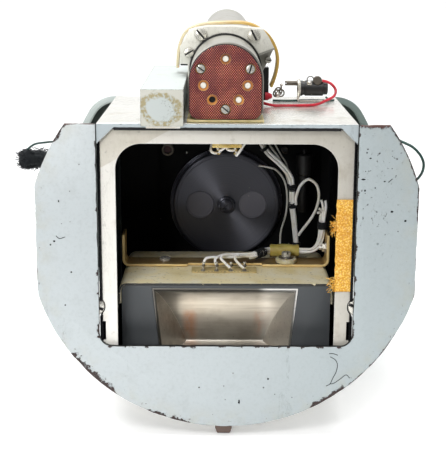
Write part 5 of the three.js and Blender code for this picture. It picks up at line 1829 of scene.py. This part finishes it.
def build_studio():
    """A paper sweep under and behind the unit, a pale room and soft round lamps."""
    floor_z = box_of("locating_lug").bottom - 0.3
    bm = bmesh.new()
    curve = arc(PAPER_FAR, PAPER_SWEEP, PAPER_SWEEP, -80, 0, 8)
    side_on = [(PAPER_NEAR, 0), (PAPER_FAR, 0), *curve, (PAPER_FAR + PAPER_SWEEP, PAPER_TOP)]
    rows = [[bm.verts.new((x, y, floor_z + z)) for x in (-PAPER_HALF_WIDTH, PAPER_HALF_WIDTH)]
            for y, z in side_on]
    for lower, upper in zip(rows, rows[1:]):
        bm.faces.new((lower[0], lower[1], upper[1], upper[0]))
    floor = object_from(bm, "studio_floor", 60)
    g = Graph("studio_paper", "f6f6f6", 0.9)
    g.set("Emission Color", rgb("ffffff"))
    g.set("Emission Strength", 0.2)
    floor.data.materials.append(g.material)
    build_world()
    for lamp in LAMPS:
        soft_light(*lamp)


def build_world():
    """A pale room: bright above and behind, dim on the camera's side."""
    world = bpy.data.worlds.new("studio")
    world.use_nodes = True
    tree = world.node_tree
    spot = tree.nodes.new("ShaderNodeTexCoord")
    split = tree.nodes.new("ShaderNodeSeparateXYZ")
    ramp = tree.nodes.new("ShaderNodeMapRange")
    seen = tree.nodes.new("ShaderNodeLightPath")
    either = tree.nodes.new("ShaderNodeMix")
    background = tree.nodes["Background"]
    limits = {"From Min": -0.9, "From Max": 0.9, "To Min": ROOM_DIM, "To Max": ROOM_BRIGHT}
    for name, value in limits.items():
        ramp.inputs[name].default_value = value
    either.inputs["B"].default_value = ROOM_SEEN
    background.inputs["Color"].default_value = ROOM_TINT
    tree.links.new(spot.outputs["Generated"], split.inputs["Vector"])
    tree.links.new(split.outputs["Y"], ramp.inputs["Value"])
    tree.links.new(seen.outputs["Is Camera Ray"], either.inputs["Factor"])
    tree.links.new(ramp.outputs["Result"], either.inputs["A"])
    tree.links.new(either.outputs["Result"], background.inputs["Strength"])
    bpy.context.scene.world = world


def soft_light(name, where, target, size, power):
    data = bpy.data.lights.new(name, "AREA")
    data.shape = "DISK"
    data.size = size * MM
    data.energy = power
    lamp = bpy.data.objects.new(name, data)
    lamp.location = (Vector(where) + TO_FRAME) * MM
    aim = (Vector(target) - Vector(where)).normalized()
    lamp.rotation_euler = aim.to_track_quat("-Z", "Y").to_euler()
    bpy.context.scene.collection.objects.link(lamp)


def build_camera():
    """The viewpoint: in front, a little above and left of the plate's centre."""
    data = bpy.data.cameras.new("camera")
    data.sensor_fit = "HORIZONTAL"
    data.sensor_width = SENSOR_WIDTH
    data.lens = LENS
    data.clip_end = 20
    camera = bpy.data.objects.new("camera", data)
    camera.location = (Vector(EYE) + TO_FRAME) * MM
    level = Matrix.Rotation(-YAW, 3, "Z") @ Matrix.Rotation(math.pi / 2 - PITCH, 3, "X")
    camera.rotation_euler = (level @ Matrix.Rotation(ROLL, 3, "Z")).to_euler()
    bpy.context.scene.collection.objects.link(camera)
    bpy.context.scene.camera = camera
    bpy.context.scene.view_settings.view_transform = "Standard"


BUILDERS = [
    build_front_plate, build_plate_marks, build_lug, build_chassis, build_tape, build_terminal_plate,
    build_connector_housing, build_clamp, build_barrel, build_drum, build_disc, build_tube, build_block,
    build_posts, build_clip, build_main_harness, build_upright_harness, build_loop_wire,
    build_top_terminals, build_chamber_hardware, build_lid_hardware, build_preset, build_top_leads,
    build_side_leads, build_sleeve, build_studio, build_camera
]
for build in BUILDERS:
    build()
